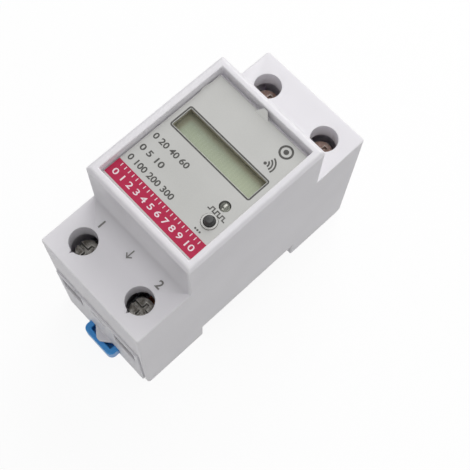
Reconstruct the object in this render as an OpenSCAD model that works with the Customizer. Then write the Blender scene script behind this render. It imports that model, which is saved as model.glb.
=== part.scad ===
// Smart energy meter and switch for a 35 mm top-hat rail, two modules wide.
// Frame: X along the rail, +Y towards the IN terminals, +Z out of the front.
// Origin: middle of the face that seats on the rail.

/* [Housing] */
// Width along the rail
body_w = 36; // [35:0.5:54]
// Length between the outer faces of the two cover ends
body_l = 79; // [78:0.5:90]
// Height of the raised front rim above the rail seat
front_h = 60; // [59:0.5:70]
// Height of the terminal shoulders above the rail seat
shoulder_h = 42; // [41:0.5:45]
// Depth of the back below the rail seat
seat_depth = 7; // [6.5:0.1:9]
// Length of the raised block
block_l = 44.5; // [44:0.5:48]
// Height of the parting line on the ends
part_h = 22.5; // [22:0.1:24]
// Side and end walls of the cover
wall = 1.8; // [1.2:0.1:2.2]
// Thickness of the shoulders
top_t = 2; // [1.2:0.1:3]
// Radius of the upright corners of the cover
corner_r = 0.8; // [0.4:0.1:1.5]
// Radius of the upright corners of the raised block
block_r = 0.7; // [0.5:0.1:2]
// Bevel along the front edges of the raised block
rim_bevel = 0.9; // [0.3:0.1:1.2]
// Radius of the back corner at the IN end
foot_r = 3; // [1:0.5:5]
// Clearance between pieces that slide together
fit_gap = 0.1; // [0.05:0.05:0.2]

/* [Face] */
// Width of the rim round the pocket
rim_w = 2.35; // [2:0.05:2.4]
// Depth of the face below the rim
pocket_depth = 2.3; // [1:0.1:3]
// Thickness of the face panel
panel_t = 1.4; // [1:0.1:2]
// Gap at the sides and at the OUT edge of the face panel
panel_gap = 0.45; // [0.2:0.05:0.6]
// Groove between the face panel and the rim at the IN edge
panel_groove = 1.05; // [0.5:0.05:1.3]
// Width of the locating tabs at the edge of the face panel
tab_w = 3.8; // [2:0.1:6]
// Width of the locating tabs at their tips
tab_tip = 1; // [0.6:0.1:1.8]
// Distance of the side tabs' middle from the rail's middle
side_tab_y = 13.6; // [10:0.1:14]
// Thickness of the ledge that carries the face panel
ledge_t = 1.5; // [1:0.1:1.8]
// Width of the ledge along the sides
ledge_w = 1.2; // [0.9:0.05:1.3]
// Width of the ledge along the ends
ledge_end_w = 2.2; // [1.6:0.1:2.6]

/* [Display] */
// Width of the face panel beside the LCD opening
lcd_side = 1.9; // [1.4:0.1:5]
// Height of the LCD opening
lcd_h = 6.2; // [5:0.1:9]
// Distance of the LCD opening's middle from the rail's middle
lcd_y = 4.2; // [3:0.1:5]
// Thickness of the clear window
window_t = 1; // [0.6:0.1:1.4]
// Thickness of the LCD glass
glass_t = 2.2; // [1.4:0.1:2.4]
// Thickness of the backlight
backlight_t = 3.1; // [2:0.1:3.1]

/* [Button and indicator] */
// Distance of the button from the side of the face panel
button_side = 3.9; // [3.8:0.1:6]
// Place of the button along the length
button_y = -9.6; // [-11:0.1:-9.2]
// Radius of the button cap at the face
button_r = 1.45; // [1:0.05:2]
// Radius of the button cap at its tip
button_tip_r = 1.05; // [0.8:0.05:1.4]
// Clearance round the button
button_play = 0.1; // [0.05:0.05:0.5]
// Width of the collar round the button
collar_w = 0.45; // [0.3:0.05:0.8]
// Height of the collar above the face
collar_rise = 0.3; // [0.1:0.05:0.6]
// Height of the button above the face
button_rise = 2; // [1:0.1:3]
// Travel of the button
button_travel = 0.4; // [0.2:0.05:0.5]
// Width of the key switch
switch_w = 6; // [5:0.1:6.4]
// Distance of the indicator from the side of the face panel
led_side = 4.2; // [3.2:0.1:4.9]
// Place of the indicator along the length
led_y = -4.3; // [-4.6:0.1:-3.8]
// Radius of the indicator
led_r = 1.35; // [1:0.05:1.5]
// Height of the indicator above the face
led_rise = 0.4; // [0.1:0.1:1]

/* [Terminals] */
// Distance of the terminal screws from the cover's sides
term_side = 7.5; // [7.4:0.05:8]
// Distance of the terminal screws from the cover's end face
term_inset = 7.55; // [7:0.05:7.9]
// Diameter of the screw wells
well_d = 7.5; // [7:0.1:8.5]
// Depth of the screw wells
well_depth = 5.3; // [3:0.1:5.5]
// Wall of the screw wells
well_t = 1.2; // [0.8:0.1:1.4]
// Depth of the screw heads below the shoulder
head_sink = 8.1; // [5:0.1:8.3]
// Diameter of the screw heads
head_d = 6.5; // [5.5:0.1:6.8]
// Height of the screw heads
head_h = 2.4; // [2:0.1:2.6]
// Width of the driver slots
slot_w = 1; // [0.6:0.1:1.4]
// Depth of the driver slots
slot_depth = 1.4; // [0.8:0.1:1.6]
// Diameter of the screw shanks
shank_d = 5; // [4:0.1:5.4]
// Running clearance of the shanks in the cages
thread_gap = 0.05; // [0.02:0.01:0.1]
// Height of the underside of the bars above the rail seat
bar_h = 20.5; // [20:0.1:21]
// Thickness of the bars
bar_t = 1.5; // [1:0.1:2]
// Width of the bars
bar_w = 8; // [7:0.1:8.4]
// Depth of the clamp cages along the wire
cage_d = 8; // [7:0.1:8.4]
// Wall of the clamp cages
cage_t = 1; // [0.6:0.05:1.1]
// Thickness of the threaded lid of the cages
cage_lid_t = 2.5; // [1.5:0.1:3]
// Room for the wire under the bar with the clamp open
wire_gap = 9; // [7:0.1:9.5]
// Width of the wire windows
wire_win_w = 8.2; // [6:0.1:8.4]

/* [Rail and clip] */
// Width of the rail
rail_w = 35; // [34.5:0.1:35.5]
// Thickness of the rail's flanges
rail_t = 1; // [0.8:0.1:1.5]
// Play between the rail and the fixed hook's wall
rail_play = 0.2; // [0.1:0.05:0.4]
// Reach of the hook and the clip under the flanges
hook_reach = 1.3; // [0.8:0.1:1.6]
// Gap between the flanges and the hooks
hook_gap = 0.3; // [0.1:0.05:0.5]
// Width of the clip
clip_w = 12; // [10:0.1:14]
// Thickness of the clip
clip_t = 4.4; // [3.6:0.1:4.6]
// Clearance round the clip
clip_play = 0.2; // [0.1:0.05:0.3]
// Length of the pull loop outside the cover's end face
clip_out = 3.7; // [3:0.1:8]
// Travel of the clip
clip_travel = 3; // [1.5:0.1:3.5]
// Width of the bar round the pull loop
loop_bar = 1.6; // [1.2:0.1:2.6]
// Thickness of the floor of the pull loop
loop_floor = 1.4; // [0.8:0.1:2.6]

/* [Boards] */
// Thickness of both boards
board_t = 1.6; // [1:0.1:2]
// Height of the tall parts on the main board
tall_h = 9.8; // [9.4:0.1:11.5]
// Clearance of pins and leads in the boards
pin_gap = 0.12; // [0.05:0.01:0.2]
// Length of the pins past the boards
solder = 0.8; // [0.4:0.1:1.2]
// Clearance above the tall parts of the main board
head_room = 0.6; // [0.3:0.1:2]

/* [Relay] */
// Width of the relay
relay_w = 20; // [19.6:0.1:20.5]
// Length of the relay
relay_l = 41; // [38:0.1:42]
// Height of the relay
relay_h = 17; // [16.5:0.1:18]
// Wall of the relay
relay_wall = 1.2; // [0.8:0.1:1.4]
// Radius of the rotor's driving pin about its axle
rotor_arm = 6; // [5:0.1:6.2]
// Radius of the contact tips
tip_r = 2.2; // [1.5:0.1:2.4]
// Radius of the coil winding
coil_r = 4.5; // [3.5:0.1:4.6]

/* [Hidden] */
$fn = 48;
slit = 0.01;
thru = 1;
hw = body_w / 2;
hl = body_l / 2;
hb = block_l / 2;
back_z = -seat_depth;
in_hw = hw - wall;
base_hw = in_hw - fit_gap;
floor_t = 2;
foot_t = 1.8;
foot_floor_z = back_z + foot_t;
end_proud = 0.6;
end_t = 1.8;
end_y = hl + end_proud;
end_in_y = end_y - end_t;
hook_z = -rail_t - hook_gap;
seat_relief = 0.5;
recess_in_y = rail_w / 2 + rail_play;
clip_mouth = 0.7;
recess_out_y = -rail_w / 2 - clip_mouth;
hook_in_y = rail_w / 2 - hook_reach;

pocket_hw = hw - rim_w;
pocket_hl = hb - rim_w;
panel_top = front_h - pocket_depth;
panel_z = panel_top - panel_t;
ledge_z = panel_z - ledge_t;
panel_hw = pocket_hw - panel_gap;
panel_out_y = -pocket_hl + panel_gap;
panel_in_y = pocket_hl - panel_groove;
tab_gap = 0.1;

lcd_hw = panel_hw - lcd_side;
lcd_lo = lcd_y - lcd_h / 2;
lcd_hi = lcd_y + lcd_h / 2;
glass_margin = 0.7;
glass_lap_out = 2.2;
glass_lap_in = 2.7;
glass_gap = 0.2;
glass_z = ledge_z - glass_gap - glass_t;
frame_t = 0.7;
backlight_gap = 0.1;
disp_top = glass_z - backlight_gap - backlight_t;
disp_z = disp_top - board_t;
disp_gap = 0.3;
boss_r = 1.9;
boss_inset = 2.45;
boss_x = pocket_hw - boss_inset;
boss_y = pocket_hl - boss_inset;
pilot_r = 0.8;
small_shank_r = 0.75;
small_head_r = 1.7;
small_head_h = 1.4;

button_x = panel_hw - button_side;
led_x = panel_hw - led_side;
button_hole_r = button_r + button_play;
collar_r = button_hole_r + collar_w;
collar_groove = 0.15;
collar_sink = 0.4;
flange_t = 0.9;
flange_gap = 0.3;
flange_lap = 0.6;
button_flange_r = button_hole_r + flange_lap;
flange_z = panel_z - flange_gap - flange_t;
switch_h = 3.5;
switch_top = disp_top + switch_h;
plunger_r = 1.5;
plunger_gap = 0.1;
plunger_sink = 1.1;
plunger_z = switch_top - plunger_sink;
dome_r = 1.6;

term_x = hw - term_side;
term_y = hl - term_inset;
well_r = well_d / 2;
head_top = shoulder_h - head_sink;
head_z = head_top - head_h;
tip_gap = 0.05;
bar_top = bar_h + bar_t;
cage_lid_gap = 0.3;
cage_lid_z = bar_top + cage_lid_gap;
cage_top = cage_lid_z + cage_lid_t;
cage_floor = bar_h - wire_gap;
cage_z = cage_floor - cage_t;
cage_y = cage_d / 2;
cage_play = 0.2;
cage_w = bar_w + 2 * (cage_t + cage_play);
cage_room = 0.5;
bar_end_y = term_y + cage_y + cage_room;
guide_gap = 0.25;
guide_t = 1.4;
guide_x = term_x - cage_w / 2 - guide_gap;
well_back_y = term_y - cage_y - cage_room;
win_gap = 0.1;
line_x0 = -term_x - bar_w / 2;
line_x1 = -term_x + bar_w / 2;

main_top = shoulder_h - top_t - head_room - tall_h;
main_z = main_top - board_t;
main_gap = 0.6;
main_hw = in_hw - main_gap;
post_r = 2.3;
post_hole_r = 1;
post_screw_r = 0.95;
post_head_r = 2.1;
post_head_h = 1.6;
post_screw_l = 9;

relay_lap = 1;
relay_x0 = line_x0 - relay_lap;
relay_x1 = relay_x0 + relay_w;
relay_hl = relay_l / 2;
post_room = 1.35;
post_y = relay_hl + post_room + post_r;
main_end = 1.9;
main_hl = post_y + main_end;
relay_z = floor_t;
relay_lid_z = relay_z + relay_h - relay_wall;
relay_floor = relay_z + relay_wall;
drop_gap = 1.5;
drop_y = relay_hl + drop_gap;
blade_lift = 1.8;
blade_w = 6;
blade_z0 = relay_floor + blade_lift;
blade_z1 = blade_z0 + blade_w;
blade_mid = (blade_z0 + blade_z1) / 2;
blade_t = 1;
spring_t = 0.6;
fixed_gap = 0.4;
fixed_x = relay_x0 + relay_wall + fixed_gap;
tip_t = 0.8;
contact_gap = 0.05;
spring_x = fixed_x + blade_t + 2 * tip_t + contact_gap;
root_inset = 5.5;
root_y = -relay_hl + root_inset;
root_lap = 1;
pusher_half = 2.1;
pusher_room = 0.7;
pusher_y = relay_hl - relay_wall - pusher_room - pusher_half;
tip_back = 6.5;
tip_y = pusher_y - tip_back;
rotor_side = 6;
rotor_x = relay_x1 - rotor_side;
rotor_y = pusher_y - rotor_arm;
rotor_half = 3;
axle_r = 1;
axle_gap = 0.05;
bearing = 0.8;
drive_r = 1;
drive_gap = 0.15;
pusher_gap = 0.2;
pusher_z = blade_z1 + pusher_gap;
pusher_t = 2.2;
prong_gap = 0.3;
prong_t = 1;
prong_l = 3.6;
spring_over = 1.5;
spring_end_y = pusher_y + spring_over;
rotor_gap = 0.3;
rotor_top = pusher_z - rotor_gap;
coil_lift = 6.8;
coil_z = relay_floor + coil_lift;
coil_inset = 3.3;
coil_room = 5.5;
coil_y0 = -relay_hl + relay_wall + coil_inset;
coil_y1 = rotor_y - coil_room;
coil_flange_t = 1;
coil_flange_lap = 0.2;
coil_half = coil_r + coil_flange_lap;
bobbin_r = 2.6;
core_r = 1.8;
shunt_l = 6;
shunt_z = blade_z1;

clip_hw = clip_w / 2;
clip_top = hook_z;
clip_z = clip_top - clip_t;
clip_end_y = -hl - clip_out;
clip_corner_r = 1.8;
chan_hw = clip_hw + clip_play;
loop_l = 4.4;
arm_t = 1;
arm_slot = 0.7;
arm_root_y = -33;
arm_tip_y = -24;
bump_r = 0.5;
bump_proud = 0.35;
bump_room = 1.2;
bump_back = 0.2;
bump_y = arm_tip_y - bump_r - bump_back;
stop_r = 1.5;
stop_y = -30;
stop_gap = 0.25;
stop_slot = stop_r + stop_gap;

snap_side = 0.65;
snap_w = 2 * (guide_x - guide_t - snap_side);
snap_t = 1.2;
snap_z = 15.6;
snap_nub = 1;
snap_h = 2.6;
snap_gap = 0.2;

lcd_pin_count = 10;
lcd_pin_pitch = 1.8;
lcd_pin_w = 0.4;
lcd_pin_inset = 0.35;
lcd_pin_y = lcd_lo - glass_lap_out + lcd_pin_inset;
function lcd_pin_x(i) = (i - (lcd_pin_count - 1) / 2) * lcd_pin_pitch;

led_pin = 0.25;
led_pin_x = 1.27;
led_seat = 0.8;
led_flange_lap = 0.45;
led_flange_r = led_r + led_flange_lap;

header_side = 3.6;
header_x = -main_hw + header_side;
header_y = -9.75;
header_count = 4;
header_pitch = 2.5;
header_pin = 0.32;
header_h = 2.5;
header_strip_w = 2.6;
header_margin = 1.2;
function header_pin_y(i) = header_y + (i - (header_count - 1) / 2) * header_pitch;

coil_pin_r = 0.4;
coil_pin_inset = 2.5;
coil_pin_y = -relay_hl + coil_pin_inset;
coil_pin_pitch = 2.5;

lead_r = 0.4;
lead_side = 0.7;
lug_w = 1.2;
lead_y = drop_y + bar_t / 2;
// Each lead's place across, along, and the height of the metal that it stands on
leads = [
    [term_x, lead_y, bar_top],
    [-term_x - bar_t, lead_y, bar_top],
    [line_x1 + lead_side, lead_y, blade_z1]];

trafo_side = 2.1;
trafo_w = 12;
trafo_at = [main_hw - trafo_side - trafo_w / 2, 13];
trafo_core_t = 2;
trafo_core_l = 5;
trafo_coil_l = 10;
trafo_flange = 1;
film_side = 1;
film_w = 12;
film_at = [-main_hw + film_side + film_w / 2, 16.5];
film_l = 5.8;
can_side = 2.2;
can_r = 4;
can_x = -main_hw + can_side + can_r;
can_y = [9.3, 0.8];
disc_side = 2.4;
disc_r = 4.2;
disc_at = [main_hw - disc_side - disc_r, -18.7];
disc_t = 3.6;
disc_lift = 1;
disc_leg_r = 0.4;
disc_leg_x = 2.5;
fuse_side = 1.6;
fuse_r = 1.7;
fuse_l = 9;
fuse_at = [-main_hw + fuse_side + fuse_l / 2, -20];
chip_t = 1.6;
meter_chip_at = [header_x + 5.9, -13.6];
meter_chip = [5, 6.2];
clock_chip_at = [header_x + 5.4, -6.4];
clock_chip = [4, 4];
radio_side = 0.6;
radio_size = [14.8, 20];
radio_at = [main_hw - radio_side - radio_size[0] / 2, -6];
radio_t = 1;
shield_at = [radio_at[0], -2.5];
shield_size = [12, 11];
shield_t = 2.4;

// Box between two opposite corners
module block(a, b) {
    translate(a) cube(b - a);
}

// Upright box with round upright corners, middle on the origin
module round_block(w, l, z0, z1, r) {
    h = z1 - z0;
    translate([-w / 2 + r, -l / 2, z0]) cube([w - 2 * r, l, h]);
    translate([-w / 2, -l / 2 + r, z0]) cube([w, l - 2 * r, h]);
    for (sx = [-1, 1], sy = [-1, 1])
        translate([sx * (w / 2 - r), sy * (l / 2 - r), z0]) cylinder(r = r, h = h);
}

// Upright rod from one height to another
module post(x, y, z0, z1, r) {
    translate([x, y, z0]) cylinder(r = r, h = z1 - z0);
}

// Rod along X
module rod_x(x0, x1, y, z, r) {
    translate([x0, y, z]) rotate([0, 90, 0]) cylinder(r = r, h = x1 - x0);
}

// Rod along Y
module rod_y(x, y0, y1, z, r) {
    translate([x, y0, z]) rotate([-90, 0, 0]) cylinder(r = r, h = y1 - y0);
}

// What is cut away to round the back corner at the IN end
module foot_rounding() {
    difference() {
        block([-body_w, end_y - foot_r, back_z - thru], [body_w, end_y + thru, back_z + foot_r]);
        rod_x(-body_w - thru, body_w + thru, end_y - foot_r, back_z + foot_r, foot_r);
    }
}

// Bevel along the four front edges of the raised block
module rim_bevels() {
    b = rim_bevel;
    tri = [[-b, slit], [slit, slit], [slit, -b]];
    for (s = [0, 1]) mirror([s, 0, 0])
        translate([hw, body_l / 2, front_h]) rotate([90, 0, 0])
            linear_extrude(body_l) polygon(tri);
    for (s = [0, 1]) mirror([0, s, 0])
        translate([-body_w / 2, hb, front_h]) rotate([90, 0, 90])
            linear_extrude(body_w) polygon(tri);
}

// One screw well through a shoulder, with the small notch in its rim
module well_hole() {
    notch_w = 1.3;
    notch_l = 0.85;
    h = well_depth + 2 * thru;
    cylinder(r = well_r, h = h);
    translate([0, -well_r, 0]) linear_extrude(h)
        polygon([[-notch_w / 2, notch_l / 3], [0, -notch_l], [notch_w / 2, notch_l / 3]]);
}

// Box of a given size standing on a height, middle at a place
module standing(at, size, z, h) {
    block([at[0] - size[0] / 2, at[1] - size[1] / 2, z], [at[0] + size[0] / 2, at[1] + size[1] / 2, z + h]);
}

module front_cover() {
    color("whitesmoke") difference() {
        union() {
            difference() {
                union() {
                    round_block(body_w, body_l, back_z, shoulder_h, corner_r);
                    round_block(body_w, block_l, shoulder_h - top_t, front_h, block_r);
                }
                block([-in_hw, -hl + wall, back_z - thru], [in_hw, hl - wall, shoulder_h - top_t]);
                block([-pocket_hw, -pocket_hl, shoulder_h - top_t - thru],
                      [pocket_hw, pocket_hl, front_h + thru]);
                for (s = [0, 1]) mirror([0, s, 0])
                    block([-in_hw, -hl - thru, back_z - thru], [in_hw, -hl + wall + thru, part_h]);
                block([-body_w, recess_out_y - fit_gap, back_z - thru],
                      [body_w, recess_in_y + fit_gap, floor_t / 2]);
                foot_rounding();
                rim_bevels();
            }
            difference() {
                block([-pocket_hw, -pocket_hl, ledge_z], [pocket_hw, pocket_hl, panel_z]);
                block([-pocket_hw + ledge_w, -pocket_hl + ledge_end_w, ledge_z - thru],
                      [pocket_hw - ledge_w, pocket_hl - ledge_end_w, panel_z + thru]);
            }
            for (sx = [-1, 1], sy = [-1, 1]) {
                post(sx * term_x, sy * term_y, shoulder_h - well_depth, shoulder_h - slit, well_r + well_t);
                post(sx * boss_x, sy * boss_y, disp_top, panel_z, boss_r);
            }
            for (s = [0, 1]) mirror([0, s, 0]) {
                block([-snap_w / 2, -end_in_y + fit_gap, snap_z],
                      [snap_w / 2, -end_in_y + fit_gap + snap_t, part_h + thru]);
                block([-snap_w / 2, -end_in_y - snap_nub, snap_z],
                      [snap_w / 2, -end_in_y + snap_t, snap_z + snap_h]);
            }
        }
        for (sx = [-1, 1], sy = [-1, 1]) {
            translate([sx * term_x, sy * term_y, shoulder_h - well_depth - thru]) well_hole();
            post(sx * boss_x, sy * boss_y, disp_top - thru, ledge_z, pilot_r);
        }
    }
}

// Walls round one pair of clamp cages, for the IN end
module clamp_walls() {
    for (s = [0, 1]) mirror([s, 0, 0]) {
        block([guide_x - guide_t, well_back_y - guide_t, foot_floor_z], [guide_x, end_in_y + thru, bar_h]);
        block([guide_x - guide_t, well_back_y - guide_t, foot_floor_z], [base_hw, well_back_y, bar_h]);
    }
}

// Outer half of a foot's hollow, open towards the inside
module foot_hollow(y0, y1) {
    for (s = [0, 1]) mirror([s, 0, 0])
        block([chan_hw + foot_t, y0, foot_floor_z], [base_hw - foot_t, y1, floor_t + thru]);
}

module rear_base() {
    pry_x = -7.2;
    pry_w = 2.8;
    pry_h = 1.2;
    pry_in = 0.2;
    relief_out = 0.6;
    relief_in = 0.5;
    chan_roof = 0.4;
    chan_wall = 1;
    tongue_w = 7.2;
    tongue_tip = 1.4;
    tongue_out = 2.3;
    tongue_t = 1.3;
    color("ghostwhite") difference() {
        union() {
            difference() {
                union() {
                    block([-base_hw, recess_out_y - thru, 0], [base_hw, recess_in_y + thru, floor_t]);
                    block([-base_hw, -end_y, back_z], [base_hw, recess_out_y, floor_t]);
                    block([-base_hw, recess_in_y, back_z], [base_hw, end_y, floor_t]);
                    block([-base_hw, -end_y, back_z], [base_hw, -end_in_y, part_h - fit_gap]);
                    block([-base_hw, end_in_y, back_z], [base_hw, end_y, part_h - fit_gap]);
                    block([-base_hw, hook_in_y, back_z], [base_hw, recess_in_y + thru, hook_z]);
                }
                foot_hollow(-end_in_y + foot_t, recess_out_y - foot_t);
                foot_hollow(recess_in_y + foot_t, end_in_y - foot_t);
                block([-body_w, recess_out_y, hook_z], [body_w, -hook_in_y + relief_out, seat_relief]);
                block([-body_w, hook_in_y - relief_in, hook_z], [body_w, recess_in_y, seat_relief]);
                block([-chan_hw, -body_l, clip_z - clip_play],
                      [chan_hw, recess_out_y + thru, clip_top + clip_play]);
                block([-chan_hw - bump_proud, bump_y - clip_travel - bump_room, clip_z - clip_play],
                      [chan_hw + bump_proud, bump_y + bump_room, clip_top + clip_play]);
                foot_rounding();
            }
            clamp_walls();
            mirror([0, 1, 0]) intersection() {
                clamp_walls();
                block([-body_w, 0, clip_top + clip_play + chan_roof], [body_w, body_l, part_h]);
            }
            mirror([0, 1, 0]) intersection() {
                clamp_walls();
                for (s = [0, 1]) mirror([s, 0, 0])
                    block([chan_hw + chan_wall, 0, foot_floor_z], [body_w, body_l, part_h]);
            }
            for (s = [-1, 1]) post(0, s * post_y, 0, main_z, post_r);
            post(0, stop_y, back_z, 0, stop_r);
            translate([0, -end_y, clip_top + clip_play]) linear_extrude(tongue_t)
                polygon([[-tongue_w / 2, thru], [-tongue_w / 2, 0], [-tongue_tip / 2, -tongue_out],
                         [tongue_tip / 2, -tongue_out], [tongue_w / 2, 0], [tongue_w / 2, thru]]);
        }
        for (s = [-1, 1]) post(0, s * post_y, main_z - post_screw_l - thru, main_z + thru, post_hole_r);
        for (sx = [-1, 1], sy = [-1, 1])
            block([sx * term_x - wire_win_w / 2, sy * (end_in_y + end_t / 2) - end_t, cage_floor + win_gap],
                  [sx * term_x + wire_win_w / 2, sy * (end_in_y + end_t / 2) + end_t, bar_h - win_gap]);
        for (s = [0, 1]) mirror([0, s, 0])
            block([-snap_w / 2 - snap_gap, -end_y - thru, snap_z - snap_gap],
                  [snap_w / 2 + snap_gap, -end_in_y + slit, snap_z + snap_h + snap_gap]);
        block([pry_x - pry_w / 2, -end_y - thru, part_h - pry_h],
              [pry_x + pry_w / 2, -end_y + end_proud + pry_in, part_h + thru]);
    }
}

// Locating tab with slanted ends, which reaches out from an edge along the X axis
module locating_tab(reach) {
    translate([0, 0, panel_z]) linear_extrude(panel_t)
        polygon([[-tab_w / 2, -thru], [tab_w / 2, -thru], [tab_w / 2, 0],
                 [tab_tip / 2, reach], [-tab_tip / 2, reach], [-tab_w / 2, 0]]);
}

module face_panel() {
    color("gainsboro") difference() {
        union() {
            difference() {
                block([-panel_hw, panel_out_y, panel_z], [panel_hw, panel_in_y, panel_top]);
                post(button_x, button_y, panel_top - collar_sink, panel_top + thru,
                     collar_r + collar_groove);
            }
            post(button_x, button_y, panel_z, panel_top + collar_rise, collar_r);
            translate([0, panel_in_y, 0]) locating_tab(panel_groove - tab_gap);
            for (s = [0, 1]) mirror([s, 0, 0])
                translate([panel_hw, side_tab_y, 0]) rotate([0, 0, -90]) locating_tab(panel_gap - tab_gap);
        }
        block([-lcd_hw, lcd_lo, panel_z - thru], [lcd_hw, lcd_hi, panel_top + thru]);
        post(button_x, button_y, panel_z - thru, panel_top + collar_rise + thru, button_hole_r);
        post(led_x, led_y, panel_z - thru, panel_top + thru, led_r + pin_gap);
    }
}

module lcd_window() {
    lap = 0.4;
    color("lightcyan", 0.4)
        block([-lcd_hw - lap, lcd_lo - lap, panel_z - window_t], [lcd_hw + lap, lcd_hi + lap, panel_z]);
}

module lcd_glass() {
    color("darkseagreen")
        block([-lcd_hw - glass_margin, lcd_lo - glass_lap_out, glass_z],
              [lcd_hw + glass_margin, lcd_hi + glass_lap_in, glass_z + glass_t]);
}

// The frame is open at its OUT edge, where the pins reach the glass
module lcd_frame() {
    x = lcd_hw + glass_margin + fit_gap;
    y0 = lcd_pin_y + lcd_pin_w / 2 + pin_gap;
    y1 = lcd_hi + glass_lap_in + fit_gap;
    lip = 0.9;
    top = glass_z + glass_t;
    color("white") difference() {
        block([-x - frame_t, y0, disp_top], [x + frame_t, y1 + frame_t, top]);
        block([-x, y0 - thru, glass_z], [x, y1, top + thru]);
        block([-x + lip, y0 + lip, disp_top - thru], [x - lip, y1 - lip, glass_z + thru]);
    }
}

module lcd_backlight() {
    inset = 1.1;
    x = lcd_hw + glass_margin - inset;
    y0 = lcd_pin_y + lcd_pin_w / 2 + pin_gap + inset;
    color("white")
        block([-x, y0, disp_top], [x, lcd_hi + glass_lap_in - inset, disp_top + backlight_t]);
}

// Row of LCD pins, or of the board's holes for them
module lcd_pin_row(grow, z1) {
    h = lcd_pin_w / 2 + grow;
    for (i = [0 : lcd_pin_count - 1])
        block([lcd_pin_x(i) - h, lcd_pin_y - h, disp_z - solder], [lcd_pin_x(i) + h, lcd_pin_y + h, z1]);
}

module lcd_pins() {
    color("silver") lcd_pin_row(0, glass_z);
}

// The two leads of the indicator, or the board's holes for them
module led_leads(grow, z1) {
    h = led_pin + grow;
    for (s = [-1, 1])
        block([led_x + s * led_pin_x - h, led_y - h, disp_z - solder],
              [led_x + s * led_pin_x + h, led_y + h, z1]);
}

// The pins between the two boards, or the holes for them
module header_row(grow, z0, z1) {
    h = header_pin + grow;
    for (i = [0 : header_count - 1])
        block([header_x - h, header_pin_y(i) - h, z0], [header_x + h, header_pin_y(i) + h, z1]);
}

module display_board() {
    color("darkgreen") difference() {
        block([-pocket_hw + disp_gap, -pocket_hl + disp_gap, disp_z],
              [pocket_hw - disp_gap, pocket_hl - disp_gap, disp_top]);
        for (sx = [-1, 1], sy = [-1, 1])
            post(sx * boss_x, sy * boss_y, disp_z - thru, disp_top + thru, pilot_r + pin_gap);
        lcd_pin_row(pin_gap, disp_top + thru);
        led_leads(pin_gap, disp_top + thru);
        header_row(pin_gap, disp_z - thru, disp_top + thru);
    }
}

module display_screws() {
    tip_room = 0.5;
    color("silver") for (sx = [-1, 1], sy = [-1, 1]) {
        post(sx * boss_x, sy * boss_y, disp_z - small_head_h, disp_z, small_head_r);
        post(sx * boss_x, sy * boss_y, disp_z - slit, ledge_z - tip_room, small_shank_r);
    }
}

module set_button() {
    top = panel_top + button_rise;
    color("dimgray") translate([button_x, button_y, 0]) {
        post(0, 0, flange_z, flange_z + flange_t, button_flange_r);
        post(0, 0, flange_z, panel_top, button_r);
        intersection() {
            translate([0, 0, panel_top - slit])
                cylinder(r1 = button_r, r2 = button_tip_r, h = button_rise + slit);
            union() {
                translate([0, 0, top - dome_r]) sphere(r = dome_r);
                post(0, 0, panel_z, top - dome_r, dome_r);
            }
        }
    }
}

module switch_plunger() {
    color("black") post(button_x, button_y, plunger_z, flange_z, plunger_r);
}

module key_switch() {
    leg_w = 0.7;
    leg_l = 1;
    leg_t = 0.3;
    leg_inset = 0.9;
    h = switch_w / 2;
    leg_y = h - leg_inset;
    color("dimgray") translate([button_x, button_y, 0]) {
        difference() {
            block([-h, -h, disp_top], [h, h, switch_top]);
            post(0, 0, plunger_z - button_travel - plunger_gap, switch_top + thru, plunger_r + plunger_gap);
        }
        for (sx = [-1, 1], sy = [-1, 1])
            block([min(sx * h, sx * (h + leg_l)), sy * leg_y - leg_w / 2, disp_top],
                  [max(sx * h, sx * (h + leg_l)), sy * leg_y + leg_w / 2, disp_top + leg_t]);
    }
}

module indicator_led() {
    dome_z = panel_top + led_rise - led_r;
    flange_h = 1;
    lead_in = 0.2;
    color("lightgray") {
        post(led_x, led_y, disp_top + led_seat, disp_top + led_seat + flange_h, led_flange_r);
        post(led_x, led_y, disp_top + led_seat, dome_z, led_r);
        translate([led_x, led_y, dome_z]) sphere(r = led_r);
        led_leads(0, disp_top + led_seat + lead_in);
    }
}

module rail_clip() {
    nose_y = -hook_in_y;
    nose_t = 1;
    slope = clip_t - nose_t;
    loop_side = 0.2;
    color("steelblue") difference() {
        union() {
            block([-clip_hw, clip_end_y + clip_corner_r, clip_z], [clip_hw, nose_y, clip_top]);
            block([-clip_hw + clip_corner_r, clip_end_y, clip_z],
                  [clip_hw - clip_corner_r, clip_end_y + clip_corner_r + thru, clip_top]);
            for (s = [-1, 1]) {
                post(s * (clip_hw - clip_corner_r), clip_end_y + clip_corner_r,
                     clip_z, clip_top, clip_corner_r);
                post(s * (clip_hw + bump_proud - bump_r), bump_y, clip_z, clip_top, bump_r);
            }
        }
        translate([-body_w / 2, 0, 0]) rotate([90, 0, 90]) linear_extrude(body_w)
            polygon([[nose_y - slope, clip_z - slit], [nose_y + slit, clip_z - slit],
                     [nose_y + slit, clip_z + slope]]);
        block([-clip_hw + loop_bar + loop_side, clip_end_y + loop_bar, clip_z + loop_floor],
              [clip_hw - loop_bar - loop_side, clip_end_y + loop_bar + loop_l, clip_top + thru]);
        block([-stop_slot, stop_y - stop_slot, clip_z - thru],
              [stop_slot, stop_y + clip_travel + stop_slot, clip_top + thru]);
        for (s = [0, 1]) mirror([s, 0, 0]) {
            block([clip_hw - arm_t - arm_slot, arm_root_y, clip_z - thru],
                  [clip_hw - arm_t, arm_tip_y + arm_slot, clip_top + thru]);
            block([clip_hw - arm_t - slit, arm_tip_y, clip_z - thru],
                  [clip_hw + thru, arm_tip_y + arm_slot, clip_top + thru]);
        }
    }
}

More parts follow.
